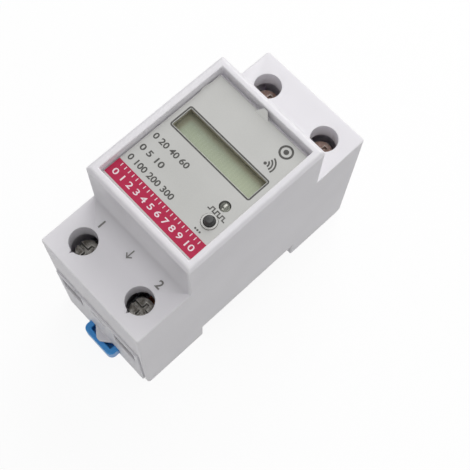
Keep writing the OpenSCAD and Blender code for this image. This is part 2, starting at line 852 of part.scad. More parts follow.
// One terminal screw, with a cross and a long slot in its head
module clamp_screw(sx, sy) {
    h = head_d / 2;
    cross_l = 4.03;
    cross = cross_l / 2;
    color("gray") translate([sx * term_x, sy * term_y, 0]) {
        difference() {
            post(0, 0, head_z, head_top, h);
            block([-h - thru, -slot_w / 2, head_top - slot_depth], [h + thru, slot_w / 2, head_top + thru]);
            block([-slot_w / 2, -cross, head_top - slot_depth], [slot_w / 2, cross, head_top + thru]);
        }
        post(0, 0, bar_top + tip_gap, head_z + slit, shank_d / 2);
    }
}

// One rising cage: a steel loop round the bar and the wire, with a threaded lid
module clamp_cage(sx, sy) {
    h = cage_w / 2;
    color("silver") translate([sx * term_x, sy * term_y, 0]) difference() {
        block([-h, -cage_y, cage_z], [h, cage_y, cage_top]);
        block([-h + cage_t, -cage_y - thru, cage_floor], [h - cage_t, cage_y + thru, cage_lid_z]);
        post(0, 0, cage_floor + thru, cage_top + thru, shank_d / 2 + thread_gap);
    }
}

module screw_line_out() { clamp_screw(-1, -1); }
module screw_neutral_out() { clamp_screw(1, -1); }
module screw_line_in() { clamp_screw(-1, 1); }
module screw_neutral_in() { clamp_screw(1, 1); }
module cage_line_out() { clamp_cage(-1, -1); }
module cage_neutral_out() { clamp_cage(1, -1); }
module cage_line_in() { clamp_cage(-1, 1); }
module cage_neutral_in() { clamp_cage(1, 1); }

module neutral_bar() {
    color("peru") block([term_x - bar_w / 2, -bar_end_y, bar_h], [term_x + bar_w / 2, bar_end_y, bar_top]);
}

module line_in_bar() {
    color("peru") {
        block([line_x0, drop_y, bar_h], [line_x1, bar_end_y, bar_top]);
        block([line_x0, drop_y, shunt_z + shunt_l], [line_x1, drop_y + bar_t, bar_top]);
    }
}

module current_shunt() {
    color("darkkhaki") block([line_x0, drop_y, shunt_z], [line_x1, drop_y + bar_t, shunt_z + shunt_l]);
}

module fixed_contact() {
    color("peru") {
        block([line_x0, drop_y, blade_z0], [line_x1 + lug_w, drop_y + bar_t, blade_z1]);
        block([fixed_x, tip_y - tip_r, blade_z0], [fixed_x + blade_t, drop_y + bar_t, blade_z1]);
        rod_x(fixed_x, fixed_x + blade_t + tip_t, tip_y, blade_mid, tip_r);
    }
}

module line_out_bar() {
    color("peru") {
        block([line_x0, -bar_end_y, bar_h], [line_x1, -drop_y, bar_top]);
        block([line_x0, -drop_y - bar_t, blade_z0], [line_x1, -drop_y, bar_top]);
        block([spring_x - blade_t, -drop_y - bar_t, blade_z0], [spring_x, root_y + root_lap, blade_z1]);
    }
}

module contact_blade() {
    trim = 0.5;
    color("goldenrod") {
        block([spring_x, root_y, blade_z0 + trim], [spring_x + spring_t, spring_end_y, blade_z1 - trim]);
        rod_x(spring_x - tip_t, spring_x, tip_y, blade_mid, tip_r);
    }
}

// Room round a blade where it goes through the relay's wall
module blade_slot(x, y) {
    g = 0.25;
    block([x - g, y - relay_wall - thru, blade_z0 - g],
          [x + blade_t + g, y + relay_wall + thru, blade_z1 + g]);
}

module relay_case() {
    guide_w = 2;
    guide_y = 1.9;
    guide_back = 5.6;
    guide_x0 = rotor_x - guide_back;
    color("darkslategray") difference() {
        union() {
            difference() {
                block([relay_x0, -relay_hl, relay_z], [relay_x1, relay_hl, relay_lid_z]);
                block([relay_x0 + relay_wall, -relay_hl + relay_wall, relay_floor],
                      [relay_x1 - relay_wall, relay_hl - relay_wall, relay_lid_z + thru]);
            }
            block([guide_x0, pusher_y - guide_y, relay_floor - slit],
                  [guide_x0 + guide_w, pusher_y + guide_y, pusher_z - fit_gap]);
        }
        blade_slot(fixed_x, relay_hl);
        blade_slot(spring_x - blade_t, -relay_hl);
        post(rotor_x, rotor_y, relay_floor - bearing, relay_floor + thru, axle_r + axle_gap);
    }
}

module relay_lid() {
    color("darkslategray") difference() {
        block([relay_x0, -relay_hl, relay_lid_z], [relay_x1, relay_hl, relay_lid_z + relay_wall]);
        post(rotor_x, rotor_y, relay_lid_z - thru, relay_lid_z + bearing, axle_r + axle_gap);
    }
}

module coil_bobbin() {
    color("ivory") difference() {
        union() {
            rod_y(rotor_x, coil_y0, coil_y1, coil_z, bobbin_r);
            for (y = [coil_y0, coil_y1 - coil_flange_t])
                block([rotor_x - coil_half, y, relay_floor],
                      [rotor_x + coil_half, y + coil_flange_t, coil_z + coil_half]);
        }
        rod_y(rotor_x, coil_y0 - thru, coil_y1 + thru, coil_z, core_r);
    }
}

module coil_winding() {
    color("chocolate") difference() {
        rod_y(rotor_x, coil_y0 + coil_flange_t, coil_y1 - coil_flange_t, coil_z, coil_r);
        rod_y(rotor_x, coil_y0, coil_y1, coil_z, bobbin_r);
    }
}

module coil_core() {
    yoke_t = 1.2;
    core_out = 0.6;
    color("gray") {
        rod_y(rotor_x, coil_y0 - yoke_t + slit, coil_y1 + core_out, coil_z, core_r);
        block([rotor_x - coil_half, coil_y0 - yoke_t, relay_floor],
              [rotor_x + coil_half, coil_y0, coil_z + coil_half]);
    }
}

// The coil's three pins, or the main board's holes for them
module coil_pin_row(grow, z0) {
    for (i = [-1 : 1])
        post(rotor_x + i * coil_pin_pitch, coil_pin_y, z0, main_top + solder, coil_pin_r + grow);
}

module coil_pins() {
    color("silver") coil_pin_row(0, relay_lid_z + relay_wall);
}

module relay_rotor() {
    rotor_lift = 0.8;
    arm_h = 2.5;
    drive_over = 1;
    color("midnightblue") translate([rotor_x, rotor_y, 0]) {
        post(0, 0, relay_floor - bearing + fit_gap, relay_lid_z + bearing - fit_gap, axle_r);
        block([-rotor_half, -rotor_half, relay_floor + rotor_lift], [rotor_half, rotor_half, rotor_top]);
        block([-drive_r, 0, rotor_top - arm_h], [drive_r, rotor_arm, rotor_top]);
        post(0, rotor_arm, rotor_top - arm_h, pusher_z + pusher_t + drive_over, drive_r);
    }
}

module relay_pusher() {
    slot_half = 1.3;
    slot_end = 1.2;
    x0 = spring_x - prong_gap - prong_t;
    color("ivory") difference() {
        union() {
            block([x0, pusher_y - pusher_half, pusher_z],
                  [rotor_x + drive_r + drive_gap + slot_end, pusher_y + pusher_half, pusher_z + pusher_t]);
            for (x = [x0, spring_x + spring_t + prong_gap])
                block([x, pusher_y - pusher_half, pusher_z - prong_l],
                      [x + prong_t, pusher_y + pusher_half, pusher_z + slit]);
        }
        block([rotor_x - drive_r - drive_gap, pusher_y - slot_half - drive_gap, pusher_z - thru],
              [rotor_x + drive_r + drive_gap, pusher_y + slot_half + drive_gap, pusher_z + pusher_t + thru]);
    }
}

// Leads from the bars up to the main board, or the board's holes for them
module lead_row(grow) {
    for (lead = leads)
        post(lead[0], lead[1], grow > 0 ? main_z - thru : lead[2], main_top + solder, lead_r + grow);
}

module sense_leads() {
    color("silver") lead_row(0);
}

module main_board() {
    color("darkgreen") difference() {
        block([-main_hw, -main_hl, main_z], [main_hw, main_hl, main_top]);
        for (s = [-1, 1]) post(0, s * post_y, main_z - thru, main_top + thru, post_hole_r + pin_gap);
        header_row(pin_gap, main_z - thru, main_top + thru);
        coil_pin_row(pin_gap, main_z - thru);
        lead_row(pin_gap);
    }
}

module board_screws() {
    color("silver") for (s = [-1, 1]) {
        post(0, s * post_y, main_top, main_top + post_head_h, post_head_r);
        post(0, s * post_y, main_z - post_screw_l, main_top + slit, post_screw_r);
    }
}

module transformer_core() {
    h = trafo_w / 2;
    color("dimgray") translate([trafo_at[0], trafo_at[1], main_top]) difference() {
        block([-h, -trafo_core_l / 2, 0], [h, trafo_core_l / 2, tall_h]);
        block([-h + trafo_core_t, -trafo_core_l, trafo_core_t],
              [h - trafo_core_t, trafo_core_l, tall_h - trafo_core_t]);
    }
}

module transformer_coil() {
    h = trafo_w / 2 - trafo_core_t;
    end = trafo_coil_l / 2;
    top = tall_h - trafo_core_t;
    color("goldenrod") translate([trafo_at[0], trafo_at[1], main_top]) {
        block([-h, -end, trafo_core_t], [h, end, top]);
        for (s = [0, 1]) mirror([0, s, 0]) block([-h, end - trafo_flange, 0], [h, end, top]);
    }
}

module film_capacitor() {
    color("gold") standing(film_at, [film_w, film_l], main_top, tall_h);
}

module supply_capacitors() {
    color("darkslateblue") for (y = can_y) post(can_x, y, main_top, main_top + tall_h, can_r);
}

module varistor() {
    y0 = disc_at[1] - disc_t / 2;
    color("royalblue") {
        rod_y(disc_at[0], y0, y0 + disc_t, main_top + disc_r + disc_lift, disc_r);
        for (s = [-1, 1])
            post(disc_at[0] + s * disc_leg_x, disc_at[1], main_top, main_top + disc_r, disc_leg_r);
    }
}

module fuse() {
    color("sienna")
        rod_x(fuse_at[0] - fuse_l / 2, fuse_at[0] + fuse_l / 2, fuse_at[1], main_top + fuse_r, fuse_r);
}

module board_chips() {
    color("black") {
        standing(meter_chip_at, meter_chip, main_top, chip_t);
        standing(clock_chip_at, clock_chip, main_top, chip_t);
    }
}

module radio_module() {
    color("navy") standing(radio_at, radio_size, main_top, radio_t);
}

module radio_shield() {
    color("silver") standing(shield_at, shield_size, main_top + radio_t, shield_t);
}

module header_strip() {
    strip_l = (header_count - 1) * header_pitch + 2 * header_margin;
    color("black") difference() {
        standing([header_x, header_y], [header_strip_w, strip_l], main_top, header_h);
        header_row(pin_gap, main_top - thru, main_top + header_h + thru);
    }
}

module header_pins() {
    color("gold") header_row(0, main_z - solder, disp_top + solder);
}

front_cover();
rear_base();
face_panel();
lcd_window();
lcd_glass();
lcd_frame();
lcd_backlight();
lcd_pins();
display_board();
display_screws();
set_button();
switch_plunger();
key_switch();
indicator_led();
rail_clip();
screw_line_out();
screw_neutral_out();
screw_line_in();
screw_neutral_in();
cage_line_out();
cage_neutral_out();
cage_line_in();
cage_neutral_in();
neutral_bar();
line_in_bar();
line_out_bar();
current_shunt();
fixed_contact();
relay_case();
relay_lid();
coil_bobbin();
coil_winding();
coil_core();
coil_pins();
relay_rotor();
relay_pusher();
contact_blade();
main_board();
board_screws();
transformer_core();
transformer_coil();
film_capacitor();
supply_capacitors();
varistor();
fuse();
board_chips();
radio_module();
radio_shield();
sense_leads();
header_strip();
header_pins();
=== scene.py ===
# Finish of a two-module energy meter and switch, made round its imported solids.
# Sizes are written in millimetres and turned into metres where a mesh is made.
import math

import bmesh
import bpy
from mathutils import Matrix, Vector


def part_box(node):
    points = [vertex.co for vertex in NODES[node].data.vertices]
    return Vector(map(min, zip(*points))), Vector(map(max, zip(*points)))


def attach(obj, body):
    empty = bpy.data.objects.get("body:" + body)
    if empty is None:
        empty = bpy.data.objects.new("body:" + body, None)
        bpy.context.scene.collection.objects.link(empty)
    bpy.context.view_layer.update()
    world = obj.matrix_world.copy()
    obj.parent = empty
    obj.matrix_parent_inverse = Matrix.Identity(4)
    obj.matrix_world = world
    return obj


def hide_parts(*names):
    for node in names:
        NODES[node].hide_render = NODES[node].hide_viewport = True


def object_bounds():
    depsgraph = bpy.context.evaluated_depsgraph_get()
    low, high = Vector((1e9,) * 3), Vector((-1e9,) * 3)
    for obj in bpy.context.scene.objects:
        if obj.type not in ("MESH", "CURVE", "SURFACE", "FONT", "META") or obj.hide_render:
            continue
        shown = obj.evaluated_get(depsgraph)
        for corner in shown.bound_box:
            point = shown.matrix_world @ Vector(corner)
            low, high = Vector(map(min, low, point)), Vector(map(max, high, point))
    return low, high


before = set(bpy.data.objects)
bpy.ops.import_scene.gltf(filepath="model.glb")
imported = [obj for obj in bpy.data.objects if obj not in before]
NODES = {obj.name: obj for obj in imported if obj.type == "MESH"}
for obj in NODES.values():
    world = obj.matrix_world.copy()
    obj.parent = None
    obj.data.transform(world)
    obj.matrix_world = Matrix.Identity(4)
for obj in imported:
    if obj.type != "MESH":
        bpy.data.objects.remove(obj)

MM = 0.001
CAD_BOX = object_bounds()

# Camera, as in the photograph
VIEW_AZIMUTH = 42.369
VIEW_ELEVATION = 70.219
VIEW_ROLL = 4.380
CAMERA_AT = (67.58, -62.10, 263.21)
LENS = 72.09
NEAREST = 10

# Stage
FLOOR_HALF = 3000
FLOOR_T = 10
FLOOR_GAP = 0.02
FLOOR_TONE = 0.5
FLOOR_GLOW = 1.13
FLOOR_SHOWN = 0.8
WORLD_LEVEL = 0.445
KEY_AT = (-170, 450, 440)
KEY_SIZE = 460
KEY_WATTS = 1.72
FILL_AT = (100, 40, 620)
FILL_SIZE = 300
FILL_WATTS = 0.66
LAMPS_AIM = (0, 0, 30)

# Rounding of the copied solids, and the boxes inside them where edges stay sharp
MERGE = 0.002
FLAT_DEGREES = 0.6
SHARP_DEGREES = 32
SLANT_DEGREES = 60
TINY_EDGE = 0.12
INSIDE = 1
CLIP_ROOM = 0.8
RECESS_HALF = 20
SMOOTH_DEGREES = 38
COVER_ROUND = 0.35
BASE_ROUND = 0.25
PANEL_ROUND = 0.06
CLIP_ROUND = 0.3
SCREW_ROUND = 0.18
CAGE_ROUND = 0.2

# How far light spreads in white plastic
MILK_DEPTH = 1.5

# Sizes that the boxes of the solids don't give
PANEL_T = 1.4
WINDOW_LAP = 0.4
# Depth below the face where the painted shade on the window's walls sets in
WALL_SHADE = 0.35
# Width of the painted shadow along the display's top and left edges
LCD_SHADOW_WIDTH = 1.7
BUTTON_R = 1.45
BUTTON_TIP_R = 1.05
COLLAR_R = 2.0
COLLAR_GROOVE = 0.15
CROWN = 0.25
CROWN_DIP = 0.08
CROWN_FLAT = 0.3
CAP_TAPER = 0.04
FLANGE_T = 0.9
FLANGE_EDGE = 0.1
LED_R = 1.35
LED_FLANGE_R = 1.8
LED_FLANGE_H = 1.0
LED_FOOT = 3.2
LED_PIN_X = 1.27
LED_PIN = 0.25
LED_PIN_EDGE = 0.06
LED_PIN_GAP = 0.01
ANVIL = ((-0.38, -0.18), (0.16, 0.88))
ANVIL_DROP = 0.75
ANVIL_CORNER = 0.16
POST = ((-0.2, -1.0), (0.24, -0.55))
POST_DROP = 0.8
POST_CORNER = 0.12
# Tilt of the line that bounds the painted shade on the lamp
LAMP_SHADE_TILT = 0.35
PANEL_EDGE = 18.85
TAB_W = 4.4
TAB_TIP = 1.2
TAB_ROOT = 0.5
FILM_T = 0.12
TURN_PITCH = 0.3
TAPE_PITCH = 0.8
CAN_RIM = 0.05

# Marks printed on the face and the shoulders
PRINT_T = 0.03
BAND_HALF = 15.2
BAND_Y = (-19.0, -14.1)
ROW_X = -14.2
ROW_H = 1.75
ROW_Y = (-3.85, -8.15, -11.95)
ROW_WORDS = ("0 20 40 60", "0 5 10", "0 100 200 300")
ROW_W = (12.0, 7.9, 15.4)
ROW_BOLD = 0.024
SCALE_WORDS = "0 1 2 3 4 5 6 7 8 9 10"
SCALE_X = -13.9
SCALE_W = 27.8
SCALE_H = 1.7
SCALE_DROP = 0.55
SCALE_BOLD = 0.012
TICK_X = -13.5
TICK_STEP = 1.35
TICK_W = 0.22
TICK_L = 0.9
TICK_DROP = 0.8
TICKS = 21
OUTLINE_GAP = 0.15
OUTLINE_W = 0.4
OUTLINE_R = 0.7
ARCS_AT = (9.45, 10.35)
ARCS_R = (0.95, 1.75, 2.55)
ARCS_W = 0.42
ARCS_TURN = 27
ARCS_HALF = 48
ARCS_DOT_R = 0.42
ROUND_MARK_AT = (10.9, 16.0)
ROUND_MARK_R = (1.9, 1.35)
ROUND_DOT_R = 0.7
PULSE_AT = (8.3, -7.35)
PULSE_STEP = 0.8
PULSE_H = 0.95
PULSE_STEPS = 6
DOTS_AT = (10.2, -13.05)
DOTS_STEP = 0.75
DOTS = 3
DOT_R = 0.27
FINE_LINE = 0.3
MARK_H = 2.4
MARK_X = (-10.4, 10.6)
MARK_Y = 25.7
MARK_LINE = 0.34
MARK_BOLD = 0.02
ARROW_L = 2.6
ARROW_HEAD = 0.95


def metres(point):
    """A point in millimetres, as a vector in metres."""
    return Vector(point) * MM


def corners(node):
    """Lowest and highest corner of a CAD node, in millimetres."""
    low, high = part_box(node)
    return low / MM, high / MM


def tint(red, green, blue):
    """A colour in screen values from 0 to 255, as linear light."""
    parts = [value / 255 for value in (red, green, blue)]
    linear = [v / 12.92 if v <= 0.04045 else ((v + 0.055) / 1.055) ** 2.4 for v in parts]
    return (*linear, 1.0)


# Node trees

def operator(operation, swapped=False):
    """A method of Wire that adds one Math node."""
    def apply(self, other):
        pair = (other, self) if swapped else (self, other)
        return self.diagram.add("ShaderNodeMath", {"operation": operation}, dict(enumerate(pair)))
    return apply


class Wire:
    """An output socket that can be added, multiplied and compared."""

    def __init__(self, diagram, socket):
        self.diagram = diagram
        self.socket = socket

    __add__ = operator("ADD")
    __radd__ = operator("ADD")
    __sub__ = operator("SUBTRACT")
    __rsub__ = operator("SUBTRACT", swapped=True)
    __mul__ = operator("MULTIPLY")
    __rmul__ = operator("MULTIPLY")
    __gt__ = operator("GREATER_THAN")
    __lt__ = operator("LESS_THAN")


class Diagram:
    """A node tree in the making."""

    def __init__(self, tree):
        self.tree = tree

    def add(self, kind, settings=None, sockets=None, out=0):
        """A new node: its settings first, then its sockets' values or links."""
        node = self.tree.nodes.new(kind)
        for key, value in (settings or {}).items():
            setattr(node, key, value)
        for key, value in (sockets or {}).items():
            self.join(node.inputs[key], value)
        return Wire(self, node.outputs[out])

    def join(self, socket, value):
        """Links a wire to a socket, or sets the socket's own value."""
        if isinstance(value, Wire):
            self.tree.links.new(value.socket, socket)
        else:
            socket.default_value = value

    def looked_at(self):
        """1 for rays from the camera, mirrors and glass, 0 for those that carry light."""
        path = self.tree.nodes.new("ShaderNodeLightPath")
        kinds = ("Is Camera Ray", "Is Glossy Ray", "Is Transmission Ray")
        seen, mirrored, through = [Wire(self, path.outputs[kind]) for kind in kinds]
        settings = {"operation": "ADD", "use_clamp": True}
        return self.add("ShaderNodeMath", settings, {0: seen + mirrored, 1: through})


class Finish(Diagram):
    """A material in the making, round one Principled shader."""

    def __init__(self, name):
        self.material = bpy.data.materials.new(name)
        self.material.use_nodes = True
        super().__init__(self.material.node_tree)
        self.shader = self.tree.nodes["Principled BSDF"]
        self.place = self.add("ShaderNodeTexCoord", out="Object")

    def noise(self, size, detail=2.0, rough=0.5, stretch=None):
        """Noise with blobs about size millimetres across."""
        at = self.place
        if stretch:
            at = self.add("ShaderNodeVectorMath", {"operation": "MULTIPLY"}, {0: at, 1: stretch})
        sockets = {"Vector": at, "Scale": 1 / (size * MM), "Detail": detail, "Roughness": rough}
        return self.add("ShaderNodeTexNoise", None, sockets)

    def axis(self, letter):
        """One coordinate of the surface point, in millimetres."""
        return self.add("ShaderNodeSeparateXYZ", None, {0: self.place}, out=letter) * (1 / MM)

    def distance(self, centre):
        """Distance across X and Y from an upright axis, in millimetres."""
        flat = self.add("ShaderNodeVectorMath", {"operation": "MULTIPLY"}, {0: self.place, 1: (1, 1, 0)})
        at = (centre[0] * MM, centre[1] * MM, 0)
        gap = self.add("ShaderNodeVectorMath", {"operation": "DISTANCE"}, {0: flat, 1: at}, out="Value")
        return gap * (1 / MM)

    def spread(self, value, low, high, first=0.0, last=1.0):
        """A value's stretch from low to high, mapped from first to last and held there."""
        sockets = {"Value": value, "From Min": low, "From Max": high, "To Min": first, "To Max": last}
        return self.add("ShaderNodeMapRange", {"clamp": True}, sockets)

    def edge(self):
        """1 on the rounded edges of a softened piece, 0 elsewhere."""
        return self.add("ShaderNodeAttribute", {"attribute_name": "edge"}, out="Fac")

    def blend(self, share, first, second):
        """A colour between two others."""
        return self.add("ShaderNodeMix", {"data_type": "RGBA"}, {0: share, 6: first, 7: second}, out=2)

    def bump(self, height, depth, strength=1.0):
        """A normal from a height, whose full range is depth millimetres."""
        sockets = {"Height": height, "Distance": depth * MM, "Strength": strength}
        return self.add("ShaderNodeBump", None, sockets)

    def done(self, **sockets):
        """Fills the shader's sockets, named in lower case, and returns the material."""
        for key, value in sockets.items():
            label = key.replace("_", " ").title().replace("Ior", "IOR")
            self.join(self.shader.inputs[label], value)
        return self.material


# Finishes

def moulded(name, colour, shade, rough=0.42, grain=0.5, depth=0.006, polish=0.12, milky=0.5):
    """Spark-eroded plastic: fine grain, a slow drift of tone, edges rubbed smooth, a milky depth."""
    f = Finish(name)
    drift = f.spread(f.noise(22, 2.0), 0.3, 0.7)
    fine = f.noise(grain, 3.0, 0.6)
    rubbed = f.edge() * f.spread(f.noise(3.0), 0.35, 0.65)
    body = f.blend(drift, colour, shade)
    worn = f.blend(rubbed * 0.35, body, tint(247, 246, 247))
    gloss = f.spread(fine, 0.3, 0.7, rough - 0.05, rough + 0.07) - rubbed * polish
    return f.done(base_color=worn, roughness=gloss, normal=f.bump(fine, depth), subsurface_weight=milky,
                  subsurface_radius=(1.0, 1.0, 1.0), subsurface_scale=MILK_DEPTH * MM)


def coloured(name, colour, shade, rough=0.38, grain=0.45, depth=0.004):
    """Dyed plastic, with paler rubbed edges and a cloudy flow of the dye."""
    f = Finish(name)
    flow = f.spread(f.noise(6.0, 3.0, 0.6, (1.0, 0.45, 1.0)), 0.3, 0.7)
    fine = f.noise(grain, 3.0)
    rubbed = f.edge() * f.spread(f.noise(1.6), 0.4, 0.7)
    body = f.blend(flow, colour, shade)
    pale = tuple(min(1.0, value * 1.5 + 0.02) for value in colour[:3]) + (1.0,)
    gloss = f.spread(fine, 0.3, 0.7, rough - 0.06, rough + 0.08)
    return f.done(base_color=f.blend(rubbed * 0.5, body, pale), roughness=gloss, normal=f.bump(fine, depth))


def ink(name, colour, thin, rough=0.5):
    """Screen-printed ink, a little uneven in its cover."""
    f = Finish(name)
    cover = f.spread(f.noise(0.9, 4.0, 0.65), 0.25, 0.75)
    mesh = f.noise(0.12, 2.0)
    gloss = f.spread(mesh, 0.3, 0.7, rough - 0.08, rough + 0.08)
    return f.done(base_color=f.blend(cover, thin, colour), roughness=gloss, normal=f.bump(mesh, 0.004),
                  specular_ior_level=0.3)


def panel_film(collar_at, collar_r, low, high):
    """Matt silver-grey sheet with a fine pearl speckle, a pale collar, and painted shade on the walls of
    its window.
    """
    f = Finish("panel_film")
    pearl = f.noise(0.16, 2.0, 0.7)
    cloud = f.spread(f.noise(12, 2.0), 0.3, 0.7)
    sheet = f.blend(cloud, tint(191, 191, 188), tint(185, 185, 182))
    speckled = f.blend(f.spread(pearl, 0.35, 0.65) * 0.35, sheet, tint(200, 200, 198))
    collar = f.distance(collar_at) < collar_r
    across = (f.axis("X") > low[0] - MERGE) * (f.axis("X") < high[0] + MERGE)
    along = (f.axis("Y") > low[1] - MERGE) * (f.axis("Y") < high[1] + MERGE)
    # Painted shade: the walls of the window darken to brown below the face.
    wall_shade_mask = f.spread(f.axis("Z"), high[2] - WALL_SHADE, high[2] - 2 * WALL_SHADE, 0.0, 0.9)
    wall_painted_shade = f.blend(across * along * wall_shade_mask, speckled, tint(158, 147, 128))
    gloss = f.spread(pearl, 0.3, 0.7, 0.36, 0.5)
    return f.done(base_color=f.blend(collar, wall_painted_shade, tint(210, 209, 206)), roughness=gloss,
                  metallic=(1 - collar) * 0.1, normal=f.bump(pearl, 0.003))


def liquid_crystal(low, high):
    """Resting display: grey-green, with a fine grid of cells and a painted brown shadow of the bezel along
    its top and left edges.
    """
    f = Finish("liquid_crystal")
    cells = f.add("ShaderNodeTexWave", {"bands_direction": "X", "wave_profile": "SIN"},
                  {"Vector": f.place, "Scale": 1 / (3.2 * MM), "Distortion": 0.0})
    cloud = f.spread(f.noise(7.0, 2.0), 0.3, 0.7)
    along = f.spread(f.axis("X"), low[0], high[0])
    body = f.blend(cloud, tint(168, 179, 151), tint(163, 173, 147))
    # The display grows paler towards +X.
    paler_rightwards = f.blend(along * 0.8, body, tint(193, 202, 170))
    lined = f.blend(cells * 0.08, paler_rightwards, tint(132, 146, 122))
    # Painted shadow of the bezel: the display darkens to brown along its top and left edges.
    top_shadow = f.spread(f.axis("Y"), high[1] - LCD_SHADOW_WIDTH, high[1])
    left_shadow = f.spread(f.axis("X"), low[0] + LCD_SHADOW_WIDTH, low[0])
    edge = f.spread(top_shadow + left_shadow, 0.0, 0.75, 0.0, 0.7)
    return f.done(base_color=f.blend(edge, lined, tint(156, 144, 120)), roughness=0.3, coat_weight=0.4)


def clear_sheet():
    """Clear polycarbonate: seen through, with its gloss rising at a slant."""
    f = Finish("clear_sheet")
    slant = f.add("ShaderNodeLayerWeight", None, {"Blend": 0.5}, out="Facing")
    rim = slant * slant * slant * slant
    smear = f.spread(f.noise(5.0, 3.0), 0.45, 0.75, 0.0, 0.03)
    return f.done(base_color=tint(228, 236, 228), alpha=rim * 0.7 + smear + 0.03, roughness=0.06)


def lamp_epoxy(centre, radius):
    """Water-clear lamp body: see-through in the middle, with painted shade round most of its rim and
    painted light on its +X side, which stays pale and clearer.
    """
    f = Finish("lamp_epoxy")
    # Painted shade and light: the rim darkens and clouds where the clear body would show the dark hole
    # round it, except on the +X side, which is left pale where light shines through.
    rim = f.spread(f.distance(centre), radius * 0.66, radius * 0.9)
    slant = (f.axis("X") - centre[0]) - (f.axis("Y") - centre[1]) * LAMP_SHADE_TILT
    side = f.spread(slant, 0.1 * radius, 0.8 * radius, 1.0, 0.0)
    cloud = f.noise(0.7, 2.0)
    body = f.blend(rim * side, tint(204, 207, 195), tint(112, 109, 104))
    cover = f.spread(rim + cloud * 0.2 - side * 0.3, -0.3, 1.0, 0.2, 0.9)
    return f.done(base_color=body, alpha=cover, roughness=0.12, coat_weight=0.5)


def metal(name, colour, stain, rough=0.36, scratch=(1.0, 1.0, 6.0), spots=2.2, metallic=1.0):
    """Plated or rolled metal: streaks along the grain, dull stains, bright rubbed edges."""
    f = Finish(name)
    streak = f.noise(0.35, 4.0, 0.6, scratch)
    dull = f.spread(f.noise(spots, 4.0, 0.62), 0.42, 0.68)
    rubbed = f.edge() * f.spread(f.noise(0.8), 0.35, 0.65)
    worn = f.blend(dull, colour, stain)
    bright = tuple(min(1.0, value * 1.35) for value in colour[:3]) + (1.0,)
    gloss = f.spread(streak, 0.3, 0.7, rough - 0.1, rough + 0.12) + dull * 0.18 - rubbed * 0.1
    return f.done(base_color=f.blend(rubbed * 0.6, worn, bright), metallic=metallic, roughness=gloss,
                  normal=f.bump(streak, 0.006))


def screw_steel(name, bright, dull, stain):
    """Zinc-plated screw head, scuffed by drivers and stained in patches."""
    f = Finish(name)
    scuff = f.noise(0.5, 5.0, 0.7)
    stains = f.spread(f.noise(1.7, 4.0, 0.65), 0.4, 0.62)
    rubbed = f.edge() * f.spread(f.noise(0.5), 0.3, 0.6)
    plate = f.blend(f.spread(scuff, 0.35, 0.65), bright, dull)
    aged = f.blend(stains, plate, stain)
    shiny = f.blend(rubbed * 0.7, aged, tint(208, 206, 200))
    gloss = f.spread(scuff, 0.3, 0.7, 0.3, 0.56) + stains * 0.12
    return f.done(base_color=shiny, metallic=0.6, roughness=gloss, normal=f.bump(scuff, 0.02))


def solder_mask():
    """Green board: raised tracks under the mask, with pale ground between them."""
    f = Finish("solder_mask")
    tracks = f.add("ShaderNodeTexVoronoi", {"distance": "MANHATTAN", "feature": "DISTANCE_TO_EDGE"},
                   {"Vector": f.place, "Scale": 1 / (2.4 * MM)}, out="Distance")
    line = f.spread(tracks, 0.05, 0.09)
    fibre = f.noise(0.3, 2.0)
    body = f.blend(line, tint(38, 104, 58), tint(22, 74, 40))
    gloss = f.spread(fibre, 0.3, 0.7, 0.28, 0.4)
    return f.done(base_color=body, roughness=gloss, coat_weight=0.3, normal=f.bump(1 - line, 0.03))


def enamelled(name, colour, dark, axis, pitch):
    """Enamelled wire, wound close, with a dark line of painted shade in the crease at every turn."""
    f = Finish(name)
    turns = f.add("ShaderNodeTexWave", {"bands_direction": axis, "wave_profile": "SIN"},
                  {"Vector": f.place, "Scale": math.pi / (10 * pitch * MM), "Distortion": 0.0})
    patchy = f.spread(f.noise(1.5, 3.0), 0.3, 0.7)
    wire = f.blend(patchy, colour, tuple(v * 0.8 for v in colour[:3]) + (1.0,))
    # Painted shade: the dark colour at each turn stands for the shade in the crease between turns.
    return f.done(base_color=f.blend(turns * 0.6, dark, wire), roughness=0.32, metallic=0.45,
                  normal=f.bump(turns, 0.05))


def sleeved_can(top):
    """Blue sleeve round a capacitor, bare aluminium on its top."""
    f = Finish("sleeved_can")
    bare = f.axis("Z") > top
    shrink = f.noise(0.6, 3.0)
    sleeve = f.blend(f.spread(shrink, 0.3, 0.7), tint(34, 44, 88), tint(28, 36, 74))
    body = f.blend(bare, sleeve, tint(196, 198, 202))
    return f.done(base_color=body, metallic=bare, roughness=f.spread(shrink, 0.3, 0.7, 0.25, 0.38),
                  normal=f.bump(shrink, 0.01))


# Making and fitting meshes

def placed(name, data):
    """A new object in the scene."""
    obj = bpy.data.objects.new(name, data)
    bpy.context.scene.collection.objects.link(obj)
    return obj


def fitted(name, mesh, body, finish, stands_for=()):
    """Puts a mesh in the scene as a piece that rides on a body."""
    mesh.name = name
    mesh.materials.clear()
    mesh.materials.append(finish)
    obj = placed(name, mesh)
    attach(obj, body)
    if stands_for:
        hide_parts(*stands_for)
    return obj


def baked(obj):
    """The object's mesh with its modifiers worked in; the object itself is removed."""
    shown = obj.evaluated_get(bpy.context.evaluated_depsgraph_get())
    mesh = bpy.data.meshes.new_from_object(shown)
    data = obj.data
    bpy.data.objects.remove(obj)
    if isinstance(data, bpy.types.Mesh):
        bpy.data.meshes.remove(data)
    return mesh


def smooth(mesh):
    """Shades a mesh smooth, with its hard edges kept."""
    mesh.shade_smooth()
    mesh.set_sharp_from_angle(angle=math.radians(SMOOTH_DEGREES))
    return mesh


def merge_points(bm):
    """Joins points that fall together and drops the faces that this leaves flat."""
    bmesh.ops.remove_doubles(bm, verts=bm.verts, dist=MERGE * MM / 10)
    bmesh.ops.dissolve_degenerate(bm, dist=MERGE * MM / 10, edges=bm.edges)


def meshed(bm):
    """A plain mesh from a bmesh, with its faces turned outwards."""
    merge_points(bm)
    bmesh.ops.recalc_face_normals(bm, faces=bm.faces)
    mesh = bpy.data.meshes.new("piece")
    bm.to_mesh(mesh)
    bm.free()
    return smooth(mesh)


